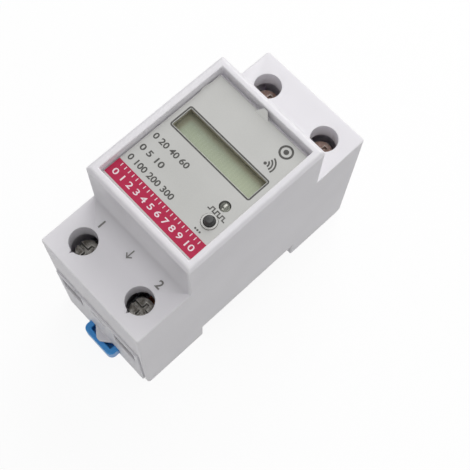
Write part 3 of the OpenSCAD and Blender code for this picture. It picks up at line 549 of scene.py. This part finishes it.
def softened(node, width, small=0.35, least=0.6, segments=3, hidden=()):
    """A copy of a CAD node with its sharp edges rounded, the short ones less, those in hidden boxes not."""
    bm = bmesh.new()
    bm.from_mesh(NODES[node].data)
    bmesh.ops.remove_doubles(bm, verts=bm.verts, dist=MERGE * MM)
    bmesh.ops.dissolve_limit(bm, angle_limit=math.radians(FLAT_DEGREES), verts=bm.verts, edges=bm.edges)
    weight = bm.edges.layers.float.new("bevel_weight_edge")
    for edge in bm.edges:
        if not edge.is_manifold or edge.calc_face_angle() < math.radians(SHARP_DEGREES):
            continue
        if any(within(edge, *box) for box in hidden):
            continue
        inner_arc = edge.calc_face_angle_signed() < 0 and edge.calc_length() < least * MM
        slanted = edge.calc_face_angle() < math.radians(SLANT_DEGREES)
        cut_arc = slanted and edge.calc_length() < TINY_EDGE * MM
        if not inner_arc and not cut_arc:
            edge[weight] = 1.0 if roomy(edge, least) else small
    mesh = bpy.data.meshes.new(node + "_copy")
    bm.to_mesh(mesh)
    bm.free()
    for label in ("body", "edge"):
        mesh.materials.append(bpy.data.materials.new(label))
    obj = placed(node + "_copy", smooth(mesh))
    bevel = obj.modifiers.new("round", "BEVEL")
    bevel.limit_method = "WEIGHT"
    bevel.width = width * MM
    bevel.segments = segments
    bevel.use_clamp_overlap = False
    bevel.loop_slide = False
    bevel.material = 1
    rounded = baked(obj)
    bm = bmesh.new()
    bm.from_mesh(rounded)
    merge_points(bm)
    bm.to_mesh(rounded)
    bm.free()
    obj = placed(node + "_round", rounded)
    normals = obj.modifiers.new("normals", "WEIGHTED_NORMAL")
    normals.keep_sharp = True
    result = baked(obj)
    mark = result.attributes.new("edge", "FLOAT", "FACE")
    for face in result.polygons:
        mark.data[face.index].value = float(face.material_index)
        face.material_index = 0
    return result


def within(edge, low, high):
    """True where an edge's middle lies in a box, given in millimetres."""
    at = (edge.verts[0].co + edge.verts[1].co) / (2 * MM)
    return all(a < value < b for a, value, b in zip(low, at, high))


def roomy(edge, least):
    """True where an edge, or the arc that it belongs to, is long enough for the full rounding."""
    if edge.calc_length() > least * MM:
        return True
    along = (edge.verts[1].co - edge.verts[0].co).normalized()
    for vert in edge.verts:
        for other in vert.link_edges:
            way = (other.verts[1].co - other.verts[0].co).normalized()
            if other is not edge and abs(along.dot(way)) > 0.9:
                return True
    return False


def turned(profile, centre, steps=48):
    """A solid of revolution about an upright axis; the profile is (radius, height) pairs."""
    bm = bmesh.new()
    rings = []
    for radius, height in profile:
        if radius == 0:
            rings.append([bm.verts.new(metres((*centre, height)))])
            continue
        ring = []
        for step in range(steps):
            angle = 2 * math.pi * step / steps
            point = (centre[0] + radius * math.cos(angle), centre[1] + radius * math.sin(angle), height)
            ring.append(bm.verts.new(metres(point)))
        rings.append(ring)
    for below, above in zip(rings, rings[1:]):
        for step in range(steps):
            ahead = (step + 1) % steps
            loop = [below[step % len(below)], below[ahead % len(below)],
                    above[ahead % len(above)], above[step % len(above)]]
            bm.faces.new(list(dict.fromkeys(loop)))
    return meshed(bm)


def arc_points(centre, radius, start, end, steps):
    """Points along an arc, with its angles in degrees."""
    angles = [math.radians(start + (end - start) * step / steps) for step in range(steps + 1)]
    return [(centre[0] + radius * math.cos(a), centre[1] + radius * math.sin(a)) for a in angles]


def circle(centre, radius, steps):
    """Points round a full circle."""
    return arc_points(centre, radius, 0, 360 - 360 / steps, steps - 1)


def rectangle(low, high):
    """The four corners of a rectangle."""
    return [low, (high[0], low[1]), high, (low[0], high[1])]


def round_loop(low, high, radius, steps=6):
    """The outline of a rectangle with round corners."""
    loop = []
    places = ((high[0], high[1], 0), (low[0], high[1], 90), (low[0], low[1], 180), (high[0], low[1], 270))
    for x, y, start in places:
        inward_x = -radius if x == high[0] else radius
        inward_y = -radius if y == high[1] else radius
        loop += arc_points((x + inward_x, y + inward_y), radius, start, start + 90, steps)
    return loop


def stroke(points, width):
    """The outline of a line of even width with mitred corners."""
    sides = ([], [])
    for index, point in enumerate(points):
        here = Vector(point)
        before = (here - Vector(points[index - 1])).normalized() if index else None
        after = (Vector(points[index + 1]) - here).normalized() if index + 1 < len(points) else None
        ways = [way for way in (before, after) if way]
        normals = [Vector((-way.y, way.x)) for way in ways]
        middle = sum(normals, Vector((0, 0))).normalized()
        reach = width / 2 / middle.dot(normals[0])
        sides[0].append(here + middle * reach)
        sides[1].append(here - middle * reach)
    return sides[0] + sides[1][::-1]


def add_plate(bm, loop, low, high):
    """Adds a flat plate with a given outline between two heights."""
    floor = [bm.verts.new(metres((x, y, low))) for x, y in loop]
    roof = [bm.verts.new(metres((x, y, high))) for x, y in loop]
    bm.faces.new(floor[::-1])
    bm.faces.new(roof)
    for index in range(len(loop)):
        ahead = (index + 1) % len(loop)
        bm.faces.new([floor[index], floor[ahead], roof[ahead], roof[index]])


def add_ring(bm, outer, inner, low, high):
    """Adds a flat ring between two outlines of as many points."""
    stacks = []
    for loop, height in ((outer, low), (outer, high), (inner, high), (inner, low)):
        stacks.append([bm.verts.new(metres((x, y, height))) for x, y in loop])
    for index in range(len(outer)):
        ahead = (index + 1) % len(outer)
        for level in range(4):
            near = stacks[level]
            far = stacks[(level + 1) % 4]
            bm.faces.new([near[index], near[ahead], far[ahead], far[index]])


def lies_flat(edge):
    """True where all the faces at an edge lie at one height."""
    heights = [vert.co.z for face in edge.link_faces for vert in face.verts]
    return max(heights) - min(heights) < PRINT_T * MM / 2


def add_words(bm, words, left, middle, height, low, width=None, bold=0.0):
    """Adds printed numbers: left end, middle of their height, their height and their full width."""
    curve = bpy.data.curves.new("words", "FONT")
    curve.body = words
    curve.resolution_u = 5
    curve.offset = bold
    curve.extrude = 0.01
    mesh = baked(placed("words", curve))
    bpy.data.curves.remove(curve)
    xs = [v.co.x for v in mesh.vertices]
    ys = [v.co.y for v in mesh.vertices]
    scale_y = height / (max(ys) - min(ys))
    scale_x = width / (max(xs) - min(xs)) if width else scale_y
    for v in mesh.vertices:
        x = left + (v.co.x - min(xs)) * scale_x
        y = middle + (v.co.y - (min(ys) + max(ys)) / 2) * scale_y
        z = low + (PRINT_T if v.co.z > 0 else 0)
        v.co = metres((x, y, z))
    glyphs = bmesh.new()
    glyphs.from_mesh(mesh)
    merge_points(glyphs)
    level = [edge for edge in glyphs.edges if lies_flat(edge)]
    bmesh.ops.beautify_fill(glyphs, faces=glyphs.faces, edges=level, method="ANGLE")
    glyphs.to_mesh(mesh)
    glyphs.free()
    bm.from_mesh(mesh)
    bpy.data.meshes.remove(mesh)


# Pieces that repeat

class Recipe(Diagram):
    """A Geometry Nodes tree with named sizes."""

    def __init__(self, name, sizes):
        super().__init__(bpy.data.node_groups.new(name, "GeometryNodeTree"))
        self.tree.interface.new_socket("Geometry", in_out="OUTPUT", socket_type="NodeSocketGeometry")
        for label, kind in sizes.items():
            self.tree.interface.new_socket(label, in_out="INPUT", socket_type="NodeSocket" + kind)
        self.inputs = self.tree.nodes.new("NodeGroupInput")

    def size(self, label):
        """The wire of a named size."""
        return Wire(self, self.inputs.outputs[label])

    def finish(self, geometry, material):
        """Ends the tree: instances made real, material set."""
        real = self.add("GeometryNodeRealizeInstances", None, {0: geometry})
        dressed = self.add("GeometryNodeSetMaterial", None, {"Geometry": real, "Material": material})
        out = self.tree.nodes.new("NodeGroupOutput")
        self.join(out.inputs["Geometry"], dressed)

    def grow(self, **sizes):
        """Runs the recipe with these sizes and returns a plain mesh."""
        obj = placed("seed", bpy.data.meshes.new("seed"))
        modifier = obj.modifiers.new("recipe", "NODES")
        modifier.node_group = self.tree
        for item in self.tree.interface.items_tree:
            if item.in_out == "INPUT":
                modifier[item.identifier] = sizes[item.name.replace(" ", "_").lower()]
        return baked(obj)


def bar_row(material):
    """Recipe for a row of equal bars, such as scale ticks or the legs of a chip."""
    sizes = {"Start": "Vector", "Step": "Vector", "Count": "Int", "Bar": "Vector"}
    r = Recipe("bar_row", sizes)
    line = r.add("GeometryNodeMeshLine", {"mode": "OFFSET"},
                 {"Count": r.size("Count"), "Start Location": r.size("Start"), "Offset": r.size("Step")})
    bar = r.add("GeometryNodeMeshCube", None, {"Size": r.size("Bar")})
    row = r.add("GeometryNodeInstanceOnPoints", None, {"Points": line, "Instance": bar})
    r.finish(row, material)
    return r


def wound_wire(material):
    """Recipe for a close winding round an axis along Z."""
    sizes = {"Radius": "Float", "Length": "Float", "Turns": "Float", "Wire": "Float", "Start": "Vector"}
    r = Recipe("wound_wire", sizes)
    path = r.add("GeometryNodeCurveSpiral", None,
                 {"Resolution": 24, "Rotations": r.size("Turns"), "Start Radius": r.size("Radius"),
                  "End Radius": r.size("Radius"), "Height": r.size("Length")})
    wire = r.add("GeometryNodeCurvePrimitiveCircle", None, {"Resolution": 6, "Radius": r.size("Wire")})
    tube = r.add("GeometryNodeCurveToMesh", None, {"Curve": path, "Profile Curve": wire, "Fill Caps": True})
    laid = r.add("GeometryNodeTransform", None,
                 {"Geometry": tube, "Translation": r.size("Start"), "Rotation": (-math.pi / 2, 0, 0)})
    r.finish(laid, material)
    return r


# Places taken from the frame

def middle(low, high):
    """Middle of a box across X and Y."""
    return ((low[0] + high[0]) / 2, (low[1] + high[1]) / 2)


panel_high = corners("face_panel")[1]
window_low, window_high = corners("lcd_window")
button_low, button_high = corners("set_button")
led_low, led_high = corners("indicator_led")
LCD_HALF = window_high[0] - WINDOW_LAP
LCD_LOW = window_low[1] + WINDOW_LAP
LCD_HIGH = window_high[1] - WINDOW_LAP
FACE = window_high[2] + PANEL_T
INK_TOP = FACE + PRINT_T
BUTTON_AT = middle(button_low, button_high)
LED_AT = middle(led_low, led_high)

# Finishes of this object
WHITE = moulded("moulded_white", tint(236, 234, 238), tint(231, 229, 233))
BASE_WHITE = moulded("base_white", tint(230, 229, 233), tint(225, 224, 229), rough=0.46)
FILM = panel_film(BUTTON_AT, COLLAR_R + COLLAR_GROOVE / 2, (-LCD_HALF, LCD_LOW),
                  (LCD_HALF, LCD_HIGH, FACE))
LCD = liquid_crystal((-LCD_HALF, LCD_LOW), (LCD_HALF, LCD_HIGH))
CRIMSON = ink("crimson_ink", tint(172, 20, 64), tint(182, 36, 78))
DARK_INK = ink("dark_ink", tint(66, 65, 63), tint(98, 97, 94))
GREY_INK = ink("grey_ink", tint(112, 110, 108), tint(140, 138, 136))
WHITE_INK = ink("white_ink", tint(240, 234, 236), tint(232, 205, 213))
FILM_PALE = ink("pale_film", tint(238, 238, 235), tint(230, 230, 227))
CLEAR = clear_sheet()
KEY_GREY = coloured("key_grey", tint(62, 62, 62), tint(48, 48, 49), rough=0.44, depth=0.008)
CLIP_BLUE = coloured("clip_blue", tint(64, 158, 232), tint(52, 142, 220), rough=0.34)
BLACK = coloured("black_plastic", tint(38, 39, 41), tint(28, 29, 31))
IVORY = moulded("ivory_plastic", tint(228, 224, 212), tint(220, 216, 203))
YELLOW = coloured("yellow_film", tint(222, 178, 52), tint(208, 160, 40))
LACQUER = coloured("blue_lacquer", tint(52, 92, 176), tint(40, 76, 158), rough=0.24, depth=0.01)
CERAMIC = coloured("brown_ceramic", tint(122, 84, 60), tint(104, 70, 50))
STEEL = metal("plated_steel", tint(176, 175, 170), tint(132, 130, 124))
TIN = metal("tinned_pin", tint(202, 203, 204), tint(170, 170, 168), rough=0.28)
COPPER = metal("copper_bar", tint(198, 120, 82), tint(150, 86, 60), scratch=(1.0, 0.2, 1.0))
ALLOY = metal("shunt_alloy", tint(166, 150, 124), tint(128, 116, 98))
IRON = metal("soft_iron", tint(112, 112, 114), tint(82, 82, 84), rough=0.48)
FERRITE = moulded("ferrite", tint(66, 66, 68), tint(54, 54, 56), rough=0.6, depth=0.02, milky=0.0)
LEAD_FRAME = metal("lead_frame", tint(232, 230, 222), tint(204, 202, 194), metallic=0.3)
GOLD = metal("gold_pin", tint(222, 186, 98), tint(190, 152, 78), rough=0.24)
BOARD = solder_mask()
WINDING = enamelled("coil_enamel", tint(184, 92, 44), tint(92, 42, 22), "Y", TURN_PITCH)
TAPE = enamelled("transformer_tape", tint(206, 168, 70), tint(150, 112, 40), "Z", TAPE_PITCH)
HEAD_GREY = screw_steel("head_grey", tint(176, 173, 168), tint(128, 125, 120), tint(90, 85, 78))
# The IN screws are the same plated screws as the OUT ones; their brown tint is a painted reflection.
HEAD_REFLECTION_BROWN = screw_steel("head_brown", tint(216, 192, 182), tint(170, 144, 134), tint(162, 128, 114))

# Housing

cover_low, cover_high = corners("front_cover")
board_low, board_high = corners("display_board")
clip_low = corners("rail_clip")[0]
left, right = cover_low[0], cover_high[0]
out_end, in_end = cover_low[1] + INSIDE, cover_high[1] - INSIDE
channel = clip_low[2] - CLIP_ROOM
COVER_INSIDE = [((left + INSIDE, out_end, cover_low[2] - INSIDE), (right - INSIDE, in_end, board_low[2])),
                ((board_low[0] - INSIDE, board_low[1] - INSIDE, board_low[2] - INSIDE),
                 (board_high[0] + INSIDE, board_high[1] + INSIDE, window_high[2] + MERGE))]
BASE_INSIDE = [((left, out_end, INSIDE), (right, in_end, cover_high[2])),
               ((left, out_end, channel), (right, -RECESS_HALF, INSIDE)),
               ((left, RECESS_HALF, channel), (right, in_end, INSIDE))]
cover = softened("front_cover", COVER_ROUND, hidden=COVER_INSIDE)
fitted("cover_shell", cover, "housing", WHITE, ["front_cover"])
base = softened("rear_base", BASE_ROUND, hidden=BASE_INSIDE)
fitted("base_shell", base, "housing", BASE_WHITE, ["rear_base"])
sheet = softened("face_panel", PANEL_ROUND)
fitted("face_sheet", sheet, "housing", FILM, ["face_panel"])
slider = softened("rail_clip", CLIP_ROUND)
fitted("clip_slider", slider, "clip", CLIP_BLUE, ["rail_clip"])


def film_tab():
    """The tab of the face's film, bent up against the IN wall of the pocket."""
    leaning = Vector((0, -FILM_T / 2, FILM_T))
    rows = []
    bm = bmesh.new()
    for y, z, width in ((PANEL_EDGE - TAB_ROOT, FACE - FILM_T, TAB_W),
                        (panel_high[1] - FILM_T, cover_high[2] - TAB_ROOT, TAB_TIP)):
        ends = [Vector((side * width / 2, y, z)) for side in (-1, 1)]
        points = ends + [end + leaning for end in ends[::-1]]
        rows.append([bm.verts.new(metres(point)) for point in points])
    root, tip = rows
    for index in range(4):
        ahead = (index + 1) % 4
        bm.faces.new([root[index], root[ahead], tip[ahead], tip[index]])
    bm.faces.new(root[::-1])
    bm.faces.new(tip)
    fitted("film_tab", meshed(bm), "housing", FILM_PALE)


film_tab()


# Marks on the face

def face_marks():
    """The crimson band, the line round the display, the rows of numbers and the signs."""
    band = bmesh.new()
    add_plate(band, rectangle((-BAND_HALF, BAND_Y[0]), (BAND_HALF, BAND_Y[1])), FACE, INK_TOP)
    fitted("band_print", meshed(band), "housing", CRIMSON)

    outline = bmesh.new()
    grow = OUTLINE_GAP + OUTLINE_W
    outer = round_loop((-LCD_HALF - grow, LCD_LOW - grow), (LCD_HALF + grow, LCD_HIGH + grow), OUTLINE_R)
    inner = round_loop((-LCD_HALF - OUTLINE_GAP, LCD_LOW - OUTLINE_GAP),
                       (LCD_HALF + OUTLINE_GAP, LCD_HIGH + OUTLINE_GAP), OUTLINE_R - OUTLINE_W)
    add_ring(outline, outer, inner, FACE, INK_TOP)
    fitted("display_outline", meshed(outline), "housing", DARK_INK)

    rows = bmesh.new()
    for words, y, width in zip(ROW_WORDS, ROW_Y, ROW_W):
        add_words(rows, words, ROW_X, y, ROW_H, FACE, width, ROW_BOLD)
    fitted("row_print", meshed(rows), "housing", DARK_INK)

    scale = bmesh.new()
    scale_y = (BAND_Y[0] + BAND_Y[1]) / 2 - SCALE_DROP
    add_words(scale, SCALE_WORDS, SCALE_X, scale_y, SCALE_H, INK_TOP, SCALE_W, SCALE_BOLD)
    fitted("scale_numbers", meshed(scale), "housing", WHITE_INK)
    first = metres((TICK_X, BAND_Y[1] - TICK_DROP, INK_TOP + PRINT_T / 2))
    ticks = bar_row(WHITE_INK).grow(start=first, step=metres((TICK_STEP, 0, 0)), count=TICKS,
                                    bar=metres((TICK_W, TICK_L, PRINT_T)))
    fitted("scale_ticks", ticks, "housing", WHITE_INK)

    signs = bmesh.new()
    turn = ARCS_TURN
    for radius in ARCS_R:
        outer = arc_points(ARCS_AT, radius + ARCS_W / 2, turn - ARCS_HALF, turn + ARCS_HALF, 14)
        inner = arc_points(ARCS_AT, radius - ARCS_W / 2, turn - ARCS_HALF, turn + ARCS_HALF, 14)
        add_plate(signs, outer + inner[::-1], FACE, INK_TOP)
    add_plate(signs, circle(ARCS_AT, ARCS_DOT_R, 24), FACE, INK_TOP)
    outer, inner = [circle(ROUND_MARK_AT, radius, 48) for radius in ROUND_MARK_R]
    add_ring(signs, outer, inner, FACE, INK_TOP)
    add_plate(signs, circle(ROUND_MARK_AT, ROUND_DOT_R, 24), FACE, INK_TOP)
    fitted("sign_print", meshed(signs), "housing", DARK_INK)

    labels = bmesh.new()
    levels = [PULSE_AT[1], PULSE_AT[1] + PULSE_H]
    pulse = [PULSE_AT]
    for step in range(1, PULSE_STEPS + 1):
        levels.reverse()
        pulse += [(PULSE_AT[0] + step * PULSE_STEP, level) for level in levels[::-1]]
    pulse.append((PULSE_AT[0] + (PULSE_STEPS + 1) * PULSE_STEP, levels[0]))
    add_plate(labels, stroke(pulse, FINE_LINE), FACE, INK_TOP)
    for step in range(DOTS):
        dot = (DOTS_AT[0] + step * DOTS_STEP, DOTS_AT[1])
        add_plate(labels, circle(dot, DOT_R, 16), FACE, INK_TOP)
    fitted("label_print", meshed(labels), "housing", DARK_INK)


def shoulder_marks():
    """Plain terminal numbers beside the wells, and an arrow for the flow at each end."""
    mesh = NODES["front_cover"].data
    shoulder = max(v.co.z for v in mesh.vertices if v.co.y < -MARK_Y * MM) / MM
    marks = bmesh.new()
    for number, x, y in (("1", MARK_X[0], -MARK_Y), ("2", MARK_X[1], -MARK_Y),
                         ("3", MARK_X[0], MARK_Y), ("4", MARK_X[1], MARK_Y)):
        add_words(marks, number, x - MARK_H / 4, y, MARK_H, shoulder, bold=MARK_BOLD)
    for y in (-MARK_Y, MARK_Y):
        tip = y - ARROW_L / 2
        add_plate(marks, stroke([(0, tip + MARK_LINE), (0, y + ARROW_L / 2)], MARK_LINE),
                  shoulder, shoulder + PRINT_T)
        head = [(-ARROW_HEAD, tip + ARROW_HEAD), (0, tip), (ARROW_HEAD, tip + ARROW_HEAD)]
        add_plate(marks, stroke(head, MARK_LINE), shoulder, shoulder + PRINT_T / 2)
    fitted("terminal_marks", meshed(marks), "housing", GREY_INK)


face_marks()
shoulder_marks()


# Display, button and lamp

def button_cap():
    """Thimble-shaped key cap with a flange under the face."""
    top = button_high[2]
    foot = button_low[2]
    flange_r = (button_high[0] - button_low[0]) / 2
    lip = foot + FLANGE_T
    crown_z = top - CROWN - CROWN_DIP
    profile = [(0, foot), (flange_r - FLANGE_EDGE, foot), (flange_r, foot + FLANGE_EDGE),
               (flange_r, lip - FLANGE_EDGE), (flange_r - FLANGE_EDGE, lip), (BUTTON_R, lip),
               (BUTTON_R, FACE), (BUTTON_TIP_R + CAP_TAPER, crown_z)]
    for step in range(1, 9):
        angle = math.radians(90 * step / 9)
        profile.append((BUTTON_TIP_R - CROWN * (1 - math.cos(angle)), crown_z + CROWN * math.sin(angle)))
    profile += [(CROWN_FLAT, top - CROWN_DIP / 4), (0, top)]
    fitted("button_cap", turned(profile, BUTTON_AT), "button", KEY_GREY, ["set_button"])


def lamp():
    """Clear round lamp with its flange, the anvil and the post of its lead frame, and its leads."""
    top = led_high[2]
    shoulder = top - LED_R
    foot = led_low[2] + LED_FOOT
    profile = [(0, foot), (LED_FLANGE_R, foot), (LED_FLANGE_R, foot + LED_FLANGE_H),
               (LED_R, foot + LED_FLANGE_H), (LED_R, shoulder)]
    for step in range(1, 12):
        angle = math.radians(90 * step / 12)
        profile.append((LED_R * math.cos(angle), shoulder + LED_R * math.sin(angle)))
    profile.append((0, top))
    epoxy = lamp_epoxy(LED_AT, LED_R)
    fitted("lamp_lens", turned(profile, LED_AT), "housing", epoxy, ["indicator_led"])
    inside = bmesh.new()
    x, y = LED_AT
    for (low, high), drop, corner in ((ANVIL, ANVIL_DROP, ANVIL_CORNER), (POST, POST_DROP, POST_CORNER)):
        loop = round_loop((x + low[0], y + low[1]), (x + high[0], y + high[1]), corner)
        add_plate(inside, loop, foot + LED_FLANGE_H, top - drop)
    for side in (-LED_PIN_X, LED_PIN_X):
        lead = round_loop((x + side - LED_PIN, y - LED_PIN), (x + side + LED_PIN, y + LED_PIN),
                          LED_PIN_EDGE, 2)
        add_plate(inside, lead, led_low[2], foot - LED_PIN_GAP)
    fitted("lamp_frame", meshed(inside), "housing", LEAD_FRAME)


button_cap()
lamp()

# Terminals

# The IN heads wear the brown of a painted reflection.
for name, finish in (("line_out", HEAD_GREY), ("neutral_out", HEAD_GREY),
                     ("line_in", HEAD_REFLECTION_BROWN), ("neutral_in", HEAD_REFLECTION_BROWN)):
    screw = softened("screw_" + name, SCREW_ROUND)
    fitted("clamp_screw_" + name, screw, name + "_screw", finish, ["screw_" + name])
    cage = softened("cage_" + name, CAGE_ROUND)
    fitted("clamp_cage_" + name, cage, name + "_cage", STEEL, ["cage_" + name])

# Relay coil

coil_low, coil_high = corners("coil_winding")
wire_r = TURN_PITCH / 2
coil_r = (coil_high[0] - coil_low[0]) / 2
coil_l = coil_high[1] - coil_low[1] - 2 * wire_r
coil_start = ((coil_low[0] + coil_high[0]) / 2, coil_low[1] + wire_r, (coil_low[2] + coil_high[2]) / 2)
coil = wound_wire(WINDING).grow(radius=coil_r * MM, length=coil_l * MM, turns=coil_l / TURN_PITCH,
                                wire=wire_r * MM, start=metres(coil_start))
fitted("coil_turns", smooth(coil), "housing", WINDING)

# CAD nodes that keep their shape

PLAIN = {
    "lcd_window": CLEAR, "lcd_glass": LCD, "lcd_frame": IVORY, "lcd_backlight": IVORY, "lcd_pins": TIN,
    "display_board": BOARD, "display_screws": STEEL, "switch_plunger": BLACK, "key_switch": BLACK,
    "neutral_bar": COPPER, "line_in_bar": COPPER, "line_out_bar": COPPER, "current_shunt": ALLOY,
    "fixed_contact": COPPER, "relay_case": BLACK, "relay_lid": BLACK, "coil_bobbin": IVORY,
    "coil_winding": WINDING, "coil_core": IRON, "coil_pins": TIN, "relay_rotor": BLACK,
    "relay_pusher": IVORY, "contact_blade": COPPER, "main_board": BOARD, "board_screws": STEEL,
    "transformer_core": FERRITE, "transformer_coil": TAPE, "film_capacitor": YELLOW,
    "supply_capacitors": sleeved_can(corners("supply_capacitors")[1][2] - CAN_RIM), "varistor": LACQUER,
    "fuse": CERAMIC, "board_chips": BLACK, "radio_module": BOARD, "radio_shield": TIN,
    "sense_leads": TIN, "header_strip": BLACK, "header_pins": GOLD}
for node, finish in PLAIN.items():
    for material_slot in NODES[node].material_slots:
        material_slot.material = finish


# Stage

def floor():
    """Pale floor that shows white to the camera and keeps the object's shadow."""
    low = CAD_BOX[0][2] / MM
    bm = bmesh.new()
    add_plate(bm, rectangle((-FLOOR_HALF, -FLOOR_HALF), (FLOOR_HALF, FLOOR_HALF)),
              low - FLOOR_T, low - FLOOR_GAP)
    mesh = meshed(bm)
    f = Finish("floor_paint")
    glow = f.add("ShaderNodeEmission", None, {"Color": (1, 1, 1, 1), "Strength": FLOOR_GLOW})
    f.done(base_color=(FLOOR_TONE, FLOOR_TONE, FLOOR_TONE, 1.0), roughness=0.9)
    mixed = f.add("ShaderNodeMixShader", None,
                  {0: f.looked_at() * FLOOR_SHOWN, 1: Wire(f, f.shader.outputs[0]), 2: glow})
    f.join(f.tree.nodes["Material Output"].inputs["Surface"], mixed)
    mesh.materials.append(f.material)
    placed("floor", mesh)


def soft_box(name, at, size, watts):
    """A square lamp that faces the object."""
    data = bpy.data.lights.new(name, "AREA")
    data.energy = watts
    data.size = size * MM
    obj = placed(name, data)
    obj.location = metres(at)
    obj.rotation_euler = (metres(LAMPS_AIM) - obj.location).to_track_quat("-Z", "Y").to_euler()


def sky():
    """Even pale light from all round, which looks white."""
    world = bpy.data.worlds.new("studio")
    world.use_nodes = True
    d = Diagram(world.node_tree)
    ground = world.node_tree.nodes["Background"]
    d.join(ground.inputs["Color"], (1.0, 1.0, 1.0, 1.0))
    d.join(ground.inputs["Strength"], d.looked_at() * (1 - WORLD_LEVEL) + WORLD_LEVEL)
    bpy.context.scene.world = world


def camera():
    """The camera, turned by azimuth, elevation and roll."""
    azimuth = math.radians(VIEW_AZIMUTH)
    elevation = math.radians(VIEW_ELEVATION)
    back = Vector((math.sin(azimuth) * math.cos(elevation), -math.cos(azimuth) * math.cos(elevation),
                   math.sin(elevation)))
    right = Vector((math.cos(azimuth), math.sin(azimuth), 0))
    axes = Matrix((right, back.cross(right), back)).transposed()
    turn = axes @ Matrix.Rotation(math.radians(VIEW_ROLL), 3, "Z")
    data = bpy.data.cameras.new("camera")
    data.lens = LENS
    data.clip_start = NEAREST * MM
    obj = placed("camera", data)
    obj.matrix_world = Matrix.Translation(metres(CAMERA_AT)) @ turn.to_4x4()
    bpy.context.scene.camera = obj


floor()
soft_box("key_lamp", KEY_AT, KEY_SIZE, KEY_WATTS)
soft_box("fill_lamp", FILL_AT, FILL_SIZE, FILL_WATTS)
sky()
camera()
bpy.context.scene.view_settings.view_transform = "Standard"

bpy.context.view_layer.update()
